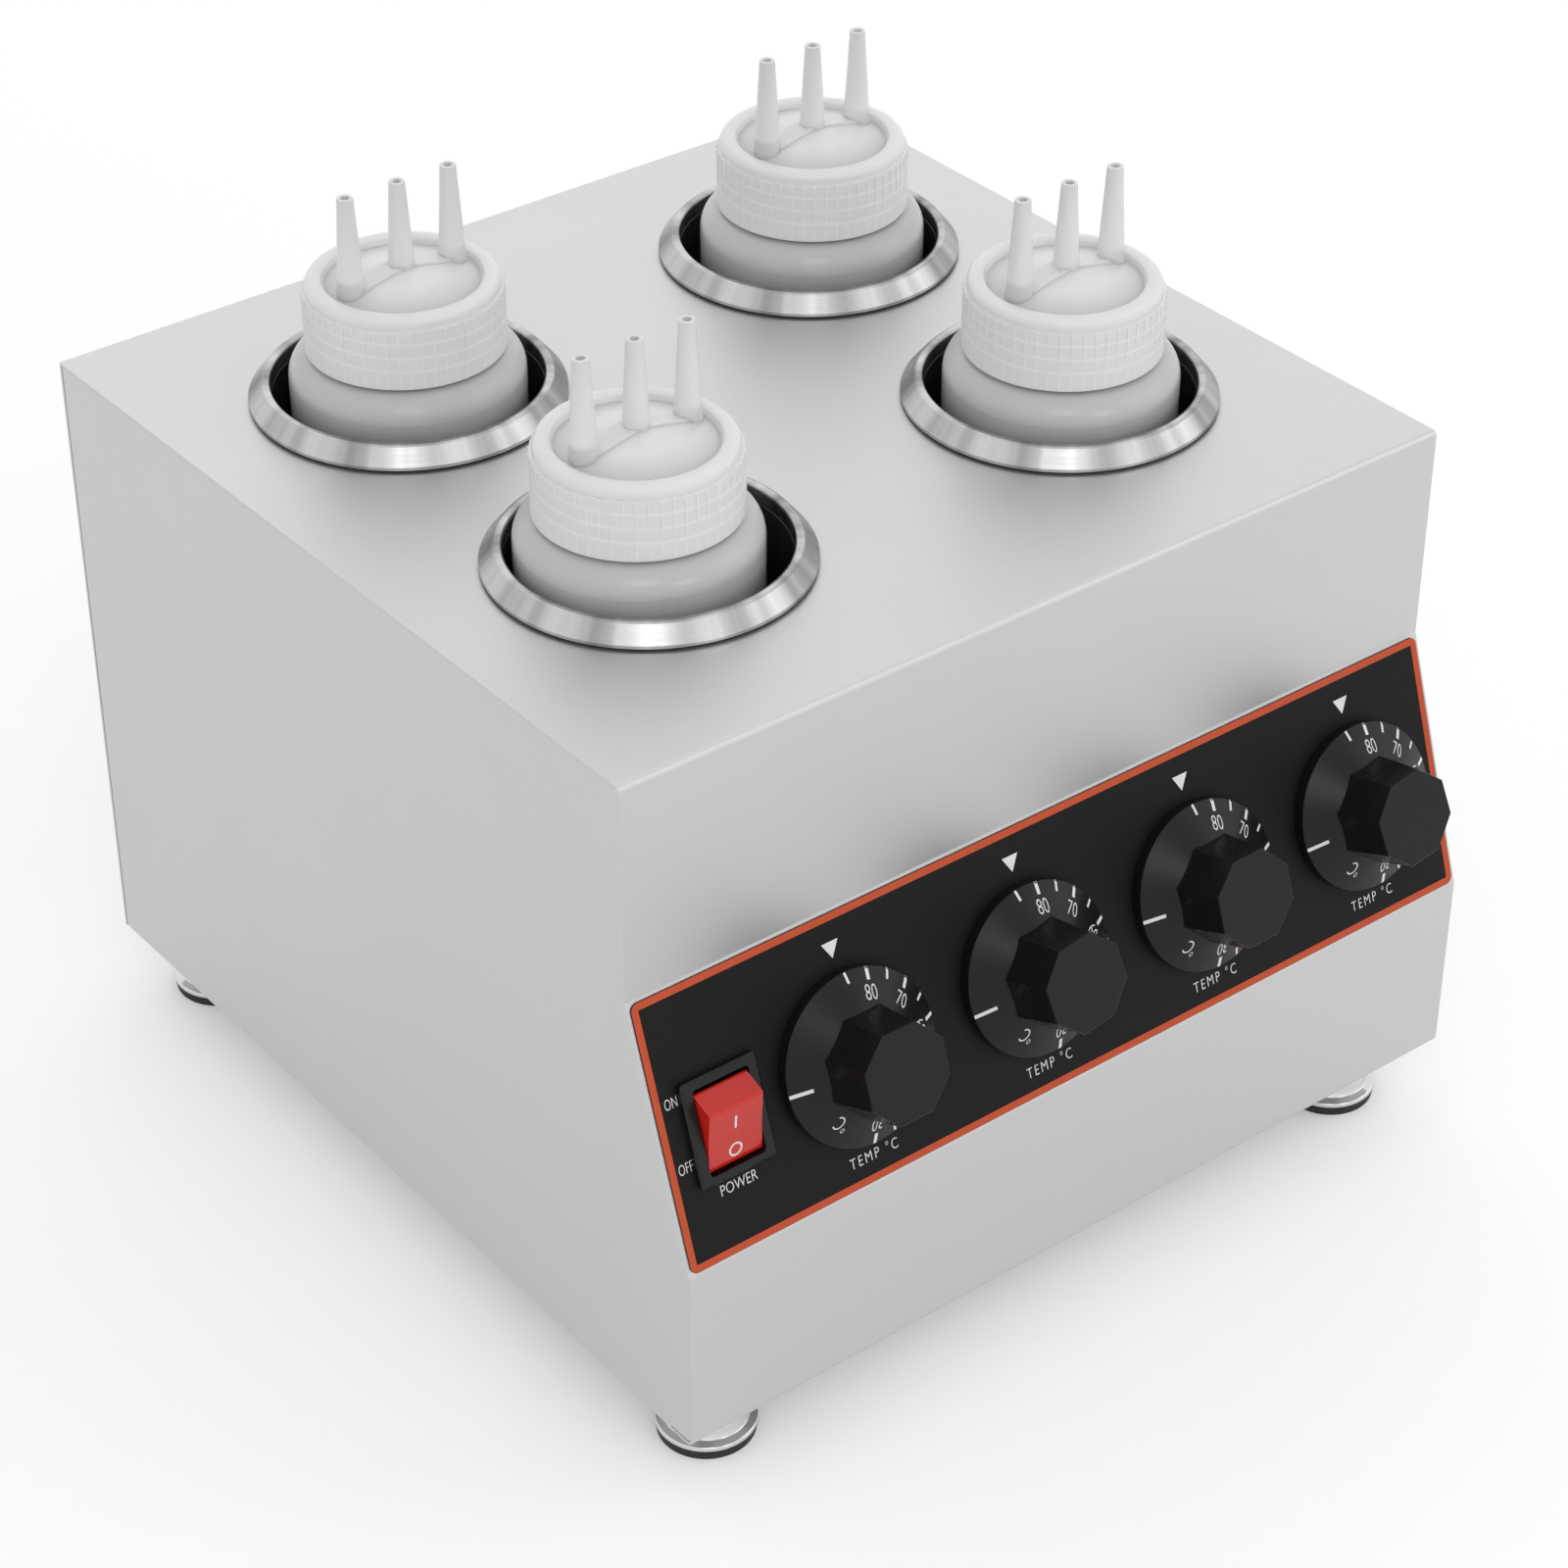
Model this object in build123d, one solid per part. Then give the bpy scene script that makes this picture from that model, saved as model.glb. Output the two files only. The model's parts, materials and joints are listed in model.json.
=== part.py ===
from build123d import *
import os
from math import atan2, cos, hypot, pi, radians, sin

# Four-well topping warmer: a folded stainless casing holds four heated wells, each with a squeeze
# bottle standing in it, and a sloping front panel carries one dial per well and a mains switch.
# Millimetres. X runs left to right, -Y is the front, +Z is up, and Z = 0 is the table top.
# While the pieces are made, Y = 0 is the upper front face; the last step centres the whole thing.

# ---------------------------------------------------------------- casing
WIDTH = 300.0
DECK_DEPTH = 289.0  # top deck, front edge to rear face
UPPER_FRONT = 70.3  # upright face above the sloping panel
PANEL_RISE = 79.8  # height of the sloping panel
PANEL_RUN = 26.9  # how far the panel comes forward on its way down
LOWER_FRONT = 63.6  # upright face below the panel
SHEET = 1.0  # stainless sheet
SEAM = 0.12  # gap between neighbouring sheets
FLANGE = 10.0  # width of every folded-in flange
TOP_BEND = 1.8  # outside bend radii
FOLD_BEND = 1.8
BOTTOM_BEND = 2.6
EDGE_BREAK = 0.5  # rounded outer edge of a side panel
BASE_SHEET = 1.2
VENT_LENGTH = 46.0
VENT_WIDTH = 3.2
VENT_PITCH = 8.0
REAR_VENT_ROWS = 7
BASE_VENT_ROWS = 8
VENT_COLUMN_OFFSET = 55.0  # centre of each column of vents from the middle

# ---------------------------------------------------------------- feet
FOOT_HEIGHT = 22.4
FOOT_SIDE_INSET = 23.0
FOOT_FRONT_INSET = 24.0  # from the lower front face
FOOT_REAR_INSET = 20.0
FOOT_R = 15.3
FOOT_NECK_R = 10.5
FOOT_STEP_R = 12.7  # foot of the cone, inside the ledge
FOOT_LEDGE = 2.9  # height of the ledge above the pad
FOOT_WALL = 1.2
FOOT_BOSS_R = 7.4
FOOT_SCREW_R = 3.0
FOOT_SCREW_HEAD_R = 5.0
FOOT_SCREW_HEAD = 3.5
FOOT_SCREW_DROP = 10.4  # shoulder that the head pulls against, below the casing
FOOT_NUT = 5.0
FOOT_NUT_FLATS = 10.0
HEAD_CLEARANCE = 0.4
SCREW_TIP = 1.5  # how far a screw stands out of its nut
PAD_HEIGHT = 3.6
PAD_TAPER = 0.5

# ---------------------------------------------------------------- wells
WELL_SIDE_INSET = 73.3  # wells' centres from the side panels' faces
WELL_FRONT_INSET = 85.7  # front wells' centres behind the upper front face
WELL_REAR_INSET = 81.8
WELL_DEPTH = 150.0  # deck to the floor inside the cup
CUP_R = 41.0
CUP_WALL = 1.2
CUP_FLANGE = 4.2  # width of the flange outside the wall
CUP_CORNER = 5.0
HOLE_CLEARANCE = 1.0  # deck hole round the cup
GASKET = 0.9
GASKET_MARGIN = 1.0  # gasket and ring reach beyond the cup's flange
RING_MARGIN = 1.6
RING_HEIGHT = 6.9  # top of the lip above the deck
RING_EDGE = 0.9  # upright outer edge of the ring
RING_LIP = 2.6  # width of the lip
RING_LIP_ROUND = 1.1
RING_FLANGE_GAP = 0.15
BAND_WALL = 1.6
BAND_HEIGHT = 60.0
BAND_ABOVE_FLOOR = 14.0
BAND_GAP_ANGLE = 30.0  # opening between the band's ends, in degrees
BAND_GAP = 0.15
EAR_LENGTH = 12.0
EAR_WALL = 1.6
EAR_HEIGHT = 10.0
CLAMP_NUT = 3.2
CLAMP_NUT_FLATS = 7.0

# ---------------------------------------------------------------- bottle and cap
BOTTLE_PLAY = 5.3  # gap round a bottle in the middle of its well
BOTTLE_WALL = 1.3
SHOULDER_HEIGHT = 166.5
SHOULDER_ROUND = 8.0
BASE_ROUND = 4.0
BASE_DIMPLE = 2.5
BASE_RING = 7.0  # width of the ring that the bottle stands on, corner included
SHOULDER_WIDTH = 8.9
NECK_WALL = 1.6
NECK_HEIGHT = 19.4
CAP_GAP = 1.1  # shoulder to the cap's lower edge
CAP_WALL = 1.7  # smooth band under the top
CAP_BAND_WALL = 2.5  # upper edge of the ribbed skirt
CAP_EDGE_WALL = 2.9  # lower edge of the ribbed skirt
CAP_TOP_BAND = 3.8  # height of the smooth band
CAP_FLOOR = 1.8
CAP_ROUND = 2.4
CAP_LIP = 4.9  # rim round the sunk disc
CAP_SINK = 2.3
CAP_SEAL_GAP = 0.3
THREAD_GAP = 0.6
RIB_PITCH = 3.48
RIB_R = 0.35
RIB_END = 0.5  # skirt left plain at each end of a rib
NOZZLE_INSET = 6.3  # outer nozzles' axes from the edge of the sunk disc
NOZZLE_BASE_R = 3.4
NOZZLE_TIP_R = 2.35
NOZZLE_LENGTH = 32.3
NOZZLE_BORE_R = 1.4
WEB_WIDTH = 7.0
WEB_HEIGHT = 1.0
BOTTLE_SHIFT = {  # each bottle stands loose in its well, a little off the middle
    "front_left": (-2.2, 1.6),
    "front_right": (0.1, -0.1),
    "back_left": (0.1, -0.1),
    "back_right": (0.8, -0.6),
}

# ---------------------------------------------------------------- control panel
OVERLAY = 0.4  # printed film
OVERLAY_MARGIN = 1.0
OVERLAY_CORNER = 2.5
DIAL_LEFT_INSET = 67.5  # first and last dials' axes from the casing's sides
DIAL_RIGHT_INSET = 34.8
DIAL_DROP = 1.8  # below the middle of the slope
DIAL_TURNS = (0.0, 7.5, 1.0, 7.5)  # how far each dial has been turned on from its top mark, in degrees
KNOB_R = 26.2
KNOB_LIFT = 0.5  # rim above the film
KNOB_RIM = 4.44  # top of the rim above the sheet
KNOB_CONE_TOP = 9.6
KNOB_HEIGHT = 25.75
KNOB_WALL = 1.8
GRIP_FLATS = 30.3  # across the flats at the cone
GRIP_FACE_FLATS = 27.6  # across the flats at the face
GRIP_SIDES = 8
GRIP_EDGE = 0.35
KNOB_BOSS_R = 5.6
KNOB_BOSS_LIFT = 2.2
SHAFT_R = 3.0
SHAFT_FLAT = 2.5  # flat's distance from the shaft's axis
SHAFT_TIP = 20.5
SHAFT_ROOT = 13.0
SHAFT_FIT = 0.05
BUSH_R = 4.9
BUSH_TIP = 1.4
BUSH_CLEARANCE = 0.3
THERMOSTAT_SCREW_PITCH = 28.0
BRACKET_END = 5.0  # bracket beyond its screws
BRACKET_HEIGHT = 18.0
BRACKET = 1.2
THERMOSTAT_WIDTH = 32.0
THERMOSTAT_HEIGHT = 36.0
THERMOSTAT_DEPTH = 24.0
THERMOSTAT_ROUND = 2.0
TAB_WIDTH = 6.3
TAB_THICKNESS = 0.8
TAB_LENGTH = 8.0
CAPILLARY_R = 0.8
CAPILLARY_BEND = 8.0
CAPILLARY_EXIT = 12.0  # straight run below the housing
CAPILLARY_LANES = {"front": (16.0, 12.0), "back": (4.0, 20.0)}  # run's depth, and drop below the cups
BULB_R = 3.0
BULB_LENGTH = 70.0
BULB_GAP = 0.1
BULB_DROP = 4.0  # bulb's lower end below the band heater's
SCREW_R = 2.0
SCREW_HEAD_R = 3.7
SCREW_HEAD = 2.2
SCREW_FIT = 0.05
SCREW_CLEARANCE = 0.2

# ---------------------------------------------------------------- switch
SWITCH_INSET = 22.1  # switch's middle from the casing's left side
SWITCH_DROP = 2.1
BEZEL_WIDTH = 26.0
BEZEL_HEIGHT = 32.0
BEZEL_RISE = 3.0
BEZEL_CHAMFER = 0.7
BEZEL_CORNER = 1.2
BEZEL_LIP = 1.9  # bezel beyond the housing
SWITCH_BODY_DEPTH = 20.0
SWITCH_WALL = 1.5  # housing at the rocker's sides
SWITCH_END_WALL = 0.8
SWITCH_CUTOUT_CLEARANCE = 0.2
ROCKER_GAP = 0.4
ROCKER_LIFT = 8.9  # top of the rocker above its pivot
ROCKER_TOP = 20.4  # length of the rocker's top
ROCKER_SAG = 0.4  # hollow along the top
ROCKER_BELLY = 5.0  # bottom of the rocker below its pivot
ROCKER_WELL_DEPTH = 10.5
ROCKER_TILT = 20.0  # half of the rocker's swing
PIVOT_DEPTH = 3.4  # pivot below the sheet's face
PIN_R = 1.5
PIN_FIT = 0.1
PIN_LENGTH = 1.0
WING = 0.9
SWITCH_TAB_WIDTH = 4.8
SWITCH_TAB_PLACE = (5.0, 7.0)  # terminals from the middle, across and along

# ---------------------------------------------------------------- mains entry
GLAND_X = 105.0
GLAND_Z = 52.0
GLAND_BORE_R = 4.0
GLAND_THREAD_R = 8.0
GLAND_HEX = 22.0
GLAND_HEX_DEPTH = 5.0
GLAND_DOME_R = 9.6
GLAND_DOME_DEPTH = 14.0
GLAND_TAIL = 9.0
GLAND_NUT = 4.0
GLAND_CLEARANCE = 0.2
BLOCK_POLES = 3
BLOCK_PITCH = 12.0
BLOCK_DEPTH = 18.0
BLOCK_HEIGHT = 14.0
BLOCK_BORE_R = 2.2
BLOCK_X = 60.0
BLOCK_REAR_INSET = 34.0

# ---------------------------------------------------------------- what follows from them
BASE_Z = FOOT_HEIGHT
TOP_Z = BASE_Z + LOWER_FRONT + PANEL_RISE + UPPER_FRONT
PANEL_TOP_Z = TOP_Z - UPPER_FRONT
PANEL_BOTTOM_Z = PANEL_TOP_Z - PANEL_RISE
PANEL_SLOPE = hypot(PANEL_RUN, PANEL_RISE)
PANEL_LEAN = atan2(PANEL_RUN, PANEL_RISE)
BASE_TOP_Z = BASE_Z + SHEET + BASE_SHEET
INSIDE_X = WIDTH / 2 - SHEET - SEAM
FOOT_SCREW_SEAT = BASE_Z - FOOT_SCREW_DROP
CUP_OUTER_R = CUP_R + CUP_WALL
CUP_FLANGE_R = CUP_OUTER_R + CUP_FLANGE
HOLE_R = CUP_OUTER_R + HOLE_CLEARANCE
GASKET_R = CUP_FLANGE_R + GASKET_MARGIN
RING_R = CUP_FLANGE_R + RING_MARGIN
CUP_FLOOR_Z = TOP_Z - WELL_DEPTH
BAND_R = CUP_OUTER_R + BAND_GAP
BULB_PLACE_R = CUP_OUTER_R + BULB_GAP + BULB_R

BOTTLE_R = CUP_R - BOTTLE_PLAY
NECK_R = BOTTLE_R - SHOULDER_WIDTH
CAP_BORE_R = NECK_R + THREAD_GAP
CAP_TOP_R = CAP_BORE_R + CAP_WALL
CAP_BAND_R = CAP_BORE_R + CAP_BAND_WALL
CAP_EDGE_R = CAP_BORE_R + CAP_EDGE_WALL
CAP_LIP_R = CAP_TOP_R - CAP_LIP
CAP_HEIGHT = NECK_HEIGHT - CAP_GAP + CAP_SEAL_GAP + CAP_FLOOR + CAP_SINK
CAP_BAND_HEIGHT = CAP_HEIGHT - CAP_TOP_BAND
CAP_RIBS = round(2 * pi * CAP_BAND_R / RIB_PITCH)
NOZZLE_PITCH = CAP_LIP_R - NOZZLE_INSET

BRACKET_WIDTH = THERMOSTAT_SCREW_PITCH + 2 * BRACKET_END
SWITCH_X = SWITCH_INSET - WIDTH / 2
SWITCH_BODY_WIDTH = BEZEL_WIDTH - 2 * BEZEL_LIP
SWITCH_BODY_HEIGHT = BEZEL_HEIGHT - 2 * BEZEL_LIP
ROCKER_WELL_WIDTH = SWITCH_BODY_WIDTH - 2 * SWITCH_WALL
ROCKER_WELL_HEIGHT = SWITCH_BODY_HEIGHT - 2 * SWITCH_END_WALL
ROCKER_WIDTH = ROCKER_WELL_WIDTH - 2 * ROCKER_GAP

PANEL = Plane(
    origin=(0, -PANEL_RUN / 2, (PANEL_TOP_Z + PANEL_BOTTOM_Z) / 2),
    x_dir=(1, 0, 0),
    z_dir=(0, -cos(PANEL_LEAN), sin(PANEL_LEAN)),
)
REAR = Plane(origin=(0, DECK_DEPTH, 0), x_dir=(-1, 0, 0), z_dir=(0, 1, 0))

WELLS = {
    f"{row}_{side}": (sign * (WIDTH / 2 - WELL_SIDE_INSET), y)
    for row, y in (("front", WELL_FRONT_INSET), ("back", DECK_DEPTH - WELL_REAR_INSET))
    for side, sign in (("left", -1), ("right", 1))
}
DIAL_ORDER = ("front_left", "back_left", "back_right", "front_right")
DIAL_FIRST_X = DIAL_LEFT_INSET - WIDTH / 2
DIAL_PITCH = (WIDTH - DIAL_LEFT_INSET - DIAL_RIGHT_INSET) / (len(DIAL_ORDER) - 1)
DIALS = {well: (DIAL_FIRST_X + i * DIAL_PITCH, -DIAL_DROP) for i, well in enumerate(DIAL_ORDER)}
FEET = {
    f"{row}_{side}": (sign * (WIDTH / 2 - FOOT_SIDE_INSET), y)
    for row, y in (("front", FOOT_FRONT_INSET - PANEL_RUN), ("back", DECK_DEPTH - FOOT_REAR_INSET))
    for side, sign in (("left", -1), ("right", 1))
}
SIDE_SCREW_X = WIDTH / 2 - SHEET - FLANGE / 2
REAR_SCREW_Z = tuple(BASE_Z + (TOP_Z - BASE_Z) * share for share in (0.1, 0.5, 0.9))
BASE_SCREW_Y = tuple(DECK_DEPTH * share for share in (0.14, 0.5, 0.86))


# ---------------------------------------------------------------- helpers
def outline(*corners):
    """Closed face from corners (across, up) or (across, up, rounding radius)."""
    points = [corner[:2] for corner in corners]
    radii = [corner[2] if len(corner) > 2 else 0 for corner in corners]
    return make_face(FilletPolyline(*points, radius=radii, close=True))


def turned(*corners):
    """Solid of revolution about Z from corners (radius, height) or (radius, height, rounding)."""
    return revolve(Plane.XZ * outline(*corners), Axis.Z)


def block(x, y, z):
    """Box between two limits along each axis."""
    size = [high - low for low, high in (x, y, z)]
    middle = [(low + high) / 2 for low, high in (x, y, z)]
    return Pos(*middle) * Box(*size)


def drill(radius, low, high):
    """Cutter along Z between two heights."""
    return Pos(0, 0, (low + high) / 2) * Cylinder(radius, high - low)


def pan_screw(length):
    """Pan-head screw with its seat at Z = 0 and its head above."""
    return turned(
        (0, SCREW_HEAD),
        (SCREW_HEAD_R, SCREW_HEAD, 1.2),
        (SCREW_HEAD_R, 0),
        (SCREW_R - SCREW_FIT, 0),
        (SCREW_R - SCREW_FIT, -length),
        (0, -length),
    )


def vent_cutter(rows):
    """Two columns of slots in the XY plane, to be cut through a sheet."""
    slots = [
        Pos(column * VENT_COLUMN_OFFSET, (row - (rows - 1) / 2) * VENT_PITCH)
        * SlotOverall(VENT_LENGTH, VENT_WIDTH)
        for column in (-1, 1)
        for row in range(rows)
    ]
    return Sketch() + slots


# ---------------------------------------------------------------- casing
def casing_profile(inset=0.0):
    """Side view of the casing (across = Y, up = Z), pulled in by inset."""
    profile = outline(
        (DECK_DEPTH, BASE_Z),
        (DECK_DEPTH, TOP_Z),
        (0, TOP_Z, TOP_BEND),
        (0, PANEL_TOP_Z, FOLD_BEND),
        (-PANEL_RUN, PANEL_BOTTOM_Z, FOLD_BEND),
        (-PANEL_RUN, BASE_Z, BOTTOM_BEND),
    )
    return offset(profile, -inset, kind=Kind.INTERSECTION) if inset else profile


def panel_holes(depth):
    """Cutter for the dials' shafts, their thermostats' screws and the switch."""
    cutter = Part()
    for x, y in DIALS.values():
        cutter += Pos(x, y) * drill(BUSH_R + BUSH_CLEARANCE, -depth, depth)
        for side in (-1, 1):
            screw_x = x + side * THERMOSTAT_SCREW_PITCH / 2
            cutter += Pos(screw_x, y) * drill(SCREW_R + SCREW_CLEARANCE, -depth, depth)
    cutter += Pos(SWITCH_X, -SWITCH_DROP) * Box(
        SWITCH_BODY_WIDTH + 2 * SWITCH_CUTOUT_CLEARANCE,
        SWITCH_BODY_HEIGHT + 2 * SWITCH_CUTOUT_CLEARANCE,
        2 * depth,
    )
    return PANEL * cutter


def front_top_wrap():
    """Deck and stepped front, folded from one sheet that also turns in under the casing."""
    section = casing_profile() - casing_profile(SHEET)
    sheet = extrude(Plane.YZ.offset(-WIDTH / 2) * section, WIDTH)
    across = (-WIDTH, WIDTH)
    sheet -= block(across, (FLANGE - PANEL_RUN, DECK_DEPTH + 1), (BASE_Z - 1, BASE_Z + 2 * SHEET))
    sheet -= block(across, (DECK_DEPTH - 2 * SHEET, DECK_DEPTH + 1), (BASE_Z - 1, TOP_Z - SHEET))
    for x, y in WELLS.values():
        sheet -= Pos(x, y) * drill(HOLE_R, TOP_Z - 2 * SHEET, TOP_Z + 1)
    return sheet - panel_holes(2 * SHEET)


def side_panel(side):
    """Flat side with flanges folded in all round, set inside the wrap; side is -1 or 1."""
    step_y = FLANGE - PANEL_RUN + SEAM
    rear_y = DECK_DEPTH - SHEET - SEAM
    shape = casing_profile(SHEET + SEAM)
    lower = ((step_y + rear_y) / 2, BASE_Z + FLANGE / 2)
    shape += Pos(*lower) * Rectangle(rear_y - step_y, FLANGE)
    web = extrude(Plane.YZ * shape, SHEET)
    tray = web + extrude(Plane.YZ * (shape - offset(shape, -SHEET, kind=Kind.INTERSECTION)), FLANGE)
    outer_edges = tray.faces().sort_by(Axis.X)[0].outer_wire().edges()
    tray = fillet(outer_edges, EDGE_BREAK)
    relief = (-PANEL_RUN, step_y + SHEET + SEAM)
    tray -= block((SHEET, FLANGE + 1), relief, (BASE_Z + SHEET, BASE_Z + FLANGE))
    tray -= block((SHEET, FLANGE + 1), (-PANEL_RUN, step_y), (BASE_Z - 1, BASE_Z + FLANGE))
    for y in BASE_SCREW_Y:
        tray -= Pos(SHEET + FLANGE / 2, y) * drill(SCREW_R + SCREW_CLEARANCE, BASE_Z - 1, BASE_Z + 2 * SHEET)
    tray = Pos(-WIDTH / 2) * tray
    if side > 0:
        tray = mirror(tray, Plane.YZ)
    for z in REAR_SCREW_Z:
        tray -= REAR * Pos(-side * SIDE_SCREW_X, z) * drill(SCREW_R, -3 * SHEET, 0)
    return tray


def rear_panel():
    """Flat rear sheet with a flange along its top and bottom, vents, and the mains entry's hole."""
    low, high = BASE_Z, TOP_Z - SHEET - SEAM
    flange_x = INSIDE_X - FLANGE - SEAM
    panel = block((-WIDTH / 2, WIDTH / 2), (DECK_DEPTH - SHEET, DECK_DEPTH), (low, high))
    for z in (low, high - SHEET):
        panel += block((-flange_x, flange_x), (DECK_DEPTH - FLANGE, DECK_DEPTH), (z, z + SHEET))
    for x in (-SIDE_SCREW_X, SIDE_SCREW_X):
        for z in REAR_SCREW_Z:
            panel -= REAR * Pos(x, z) * drill(SCREW_R + SCREW_CLEARANCE, -2 * SHEET, 1)
    panel -= REAR * Pos(-GLAND_X, GLAND_Z) * drill(GLAND_THREAD_R + GLAND_CLEARANCE, -2 * SHEET, 1)
    vents = REAR * Pos(0, (low + high) / 2) * vent_cutter(REAR_VENT_ROWS)
    return panel - extrude(vents, 2 * SHEET, both=True)


def base_plate():
    """Flat plate that lies on the folded-in flanges and carries the feet."""
    front = max(2 * (SHEET + SEAM), BOTTOM_BEND + SEAM) - PANEL_RUN
    rear = DECK_DEPTH - 2 * (SHEET + SEAM)
    low, high = BASE_Z + SHEET, BASE_TOP_Z
    plate = block((-INSIDE_X, INSIDE_X), (front, rear), (low, high))
    for x, y in FEET.values():
        plate -= Pos(x, y) * drill(FOOT_SCREW_R + SCREW_CLEARANCE, low - 1, high + 1)
    for x in (-SIDE_SCREW_X, SIDE_SCREW_X):
        for y in BASE_SCREW_Y:
            plate -= Pos(x, y) * drill(SCREW_R, low - 1, high + 1)
    vents = Pos(0, (front + rear) / 2, low) * vent_cutter(BASE_VENT_ROWS)
    return plate - extrude(vents, 2 * SHEET, both=True)


def control_overlay():
    """Printed film on the sloping panel, cut out round the switch and under each dial."""
    film = RectangleRounded(
        WIDTH - 2 * OVERLAY_MARGIN, PANEL_SLOPE - 2 * OVERLAY_MARGIN, OVERLAY_CORNER
    )
    for x, y in DIALS.values():
        film -= Pos(x, y) * Circle(THERMOSTAT_SCREW_PITCH / 2 + SCREW_HEAD_R + 1)
    film -= Pos(SWITCH_X, -SWITCH_DROP) * Rectangle(
        SWITCH_BODY_WIDTH + 2 * SWITCH_CUTOUT_CLEARANCE,
        SWITCH_BODY_HEIGHT + 2 * SWITCH_CUTOUT_CLEARANCE,
    )
    return PANEL * extrude(film, OVERLAY)


def pan_head_screws():
    """Screws of the rear panel, the base plate and the thermostats."""
    screws = [
        REAR * Pos(x, z) * pan_screw(2 * SHEET + 3)
        for x in (-SIDE_SCREW_X, SIDE_SCREW_X)
        for z in REAR_SCREW_Z
    ]
    screws += [
        Pos(x, y, BASE_Z) * Rot(180, 0, 0) * pan_screw(SHEET + BASE_SHEET + 3)
        for x in (-SIDE_SCREW_X, SIDE_SCREW_X)
        for y in BASE_SCREW_Y
    ]
    screws += [
        PANEL * Pos(x + side * THERMOSTAT_SCREW_PITCH / 2, y) * pan_screw(SHEET + BRACKET + 3)
        for x, y in DIALS.values()
        for side in (-1, 1)
    ]
    return Part() + screws


# ---------------------------------------------------------------- feet
def foot_cup():
    """Pressed metal foot: a ledge over the pad, a cone, and a centre boss for the screw."""
    bore = FOOT_SCREW_HEAD_R + HEAD_CLEARANCE
    ledge = PAD_HEIGHT + FOOT_LEDGE
    roof = BASE_Z - FOOT_WALL
    return turned(
        (bore, PAD_HEIGHT),
        (FOOT_BOSS_R, PAD_HEIGHT),
        (FOOT_BOSS_R, roof),
        (FOOT_NECK_R - FOOT_WALL, roof),
        (FOOT_STEP_R - FOOT_WALL, ledge - FOOT_WALL / 2),
        (FOOT_R - FOOT_WALL, PAD_HEIGHT + FOOT_WALL),
        (FOOT_R - FOOT_WALL, PAD_HEIGHT),
        (FOOT_R, PAD_HEIGHT),
        (FOOT_R, PAD_HEIGHT + FOOT_WALL, 0.6),
        (FOOT_STEP_R + 0.2, ledge - FOOT_WALL / 2, 0.5),
        (FOOT_STEP_R - 0.2, ledge + FOOT_WALL / 2, 0.5),
        (FOOT_NECK_R, BASE_Z),
        (FOOT_BOSS_R, BASE_Z),
        (FOOT_BOSS_R, BASE_Z + SHEET),
        (FOOT_SCREW_R + SCREW_CLEARANCE, BASE_Z + SHEET),
        (FOOT_SCREW_R + SCREW_CLEARANCE, FOOT_SCREW_SEAT),
        (bore, FOOT_SCREW_SEAT),
    )


def foot_pad():
    """Rubber ring under the foot."""
    bore = FOOT_SCREW_HEAD_R + HEAD_CLEARANCE
    return turned(
        (bore, 0),
        (FOOT_R - PAD_TAPER, 0, 0.5),
        (FOOT_R, PAD_HEIGHT),
        (bore, PAD_HEIGHT),
    )


def foot_screws():
    """Screws up through the feet, with their nuts on the base plate."""
    tip = BASE_TOP_Z + FOOT_NUT + SCREW_TIP
    screw = turned(
        (0, FOOT_SCREW_SEAT - FOOT_SCREW_HEAD),
        (FOOT_SCREW_HEAD_R, FOOT_SCREW_SEAT - FOOT_SCREW_HEAD, 1.5),
        (FOOT_SCREW_HEAD_R, FOOT_SCREW_SEAT),
        (FOOT_SCREW_R - SCREW_FIT, FOOT_SCREW_SEAT),
        (FOOT_SCREW_R - SCREW_FIT, tip),
        (0, tip),
    )
    return Part() + [Pos(x, y) * screw for x, y in FEET.values()]


def foot_nuts():
    """Hexagon nuts that hold the feet's screws."""
    shape = RegularPolygon(FOOT_NUT_FLATS / 2, 6, major_radius=False) - Circle(FOOT_SCREW_R)
    nut = Pos(0, 0, BASE_TOP_Z) * extrude(shape, FOOT_NUT)
    return Part() + [Pos(x, y) * nut for x, y in FEET.values()]


# ---------------------------------------------------------------- wells
def trim_ring():
    """Turned ring over the cup's flange: a cone that rises inwards to a rounded lip."""
    under = GASKET + CUP_WALL + RING_FLANGE_GAP
    return turned(
        (CUP_FLANGE_R + RING_FLANGE_GAP, GASKET),
        (RING_R, GASKET),
        (RING_R, GASKET + RING_EDGE, 0.3),
        (CUP_R + RING_FLANGE_GAP + RING_LIP, RING_HEIGHT, RING_LIP_ROUND),
        (CUP_R + RING_FLANGE_GAP, RING_HEIGHT, RING_LIP_ROUND),
        (CUP_R + RING_FLANGE_GAP, under),
        (CUP_FLANGE_R + RING_FLANGE_GAP, under),
    )


def ring_gasket():
    """Flat rubber ring between the deck and the cup's flange."""
    return turned((HOLE_R, 0), (GASKET_R, 0), (GASKET_R, GASKET), (HOLE_R, GASKET))


def well_cup():
    """Drawn cup that hangs from its flange."""
    outer = CUP_OUTER_R
    top = GASKET + CUP_WALL
    return turned(
        (0, -WELL_DEPTH),
        (CUP_R, -WELL_DEPTH, CUP_CORNER),
        (CUP_R, top, CUP_WALL / 2),
        (CUP_FLANGE_R, top),
        (CUP_FLANGE_R, GASKET),
        (outer, GASKET),
        (outer, -WELL_DEPTH - CUP_WALL, CUP_CORNER + CUP_WALL),
        (0, -WELL_DEPTH - CUP_WALL),
    )


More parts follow.
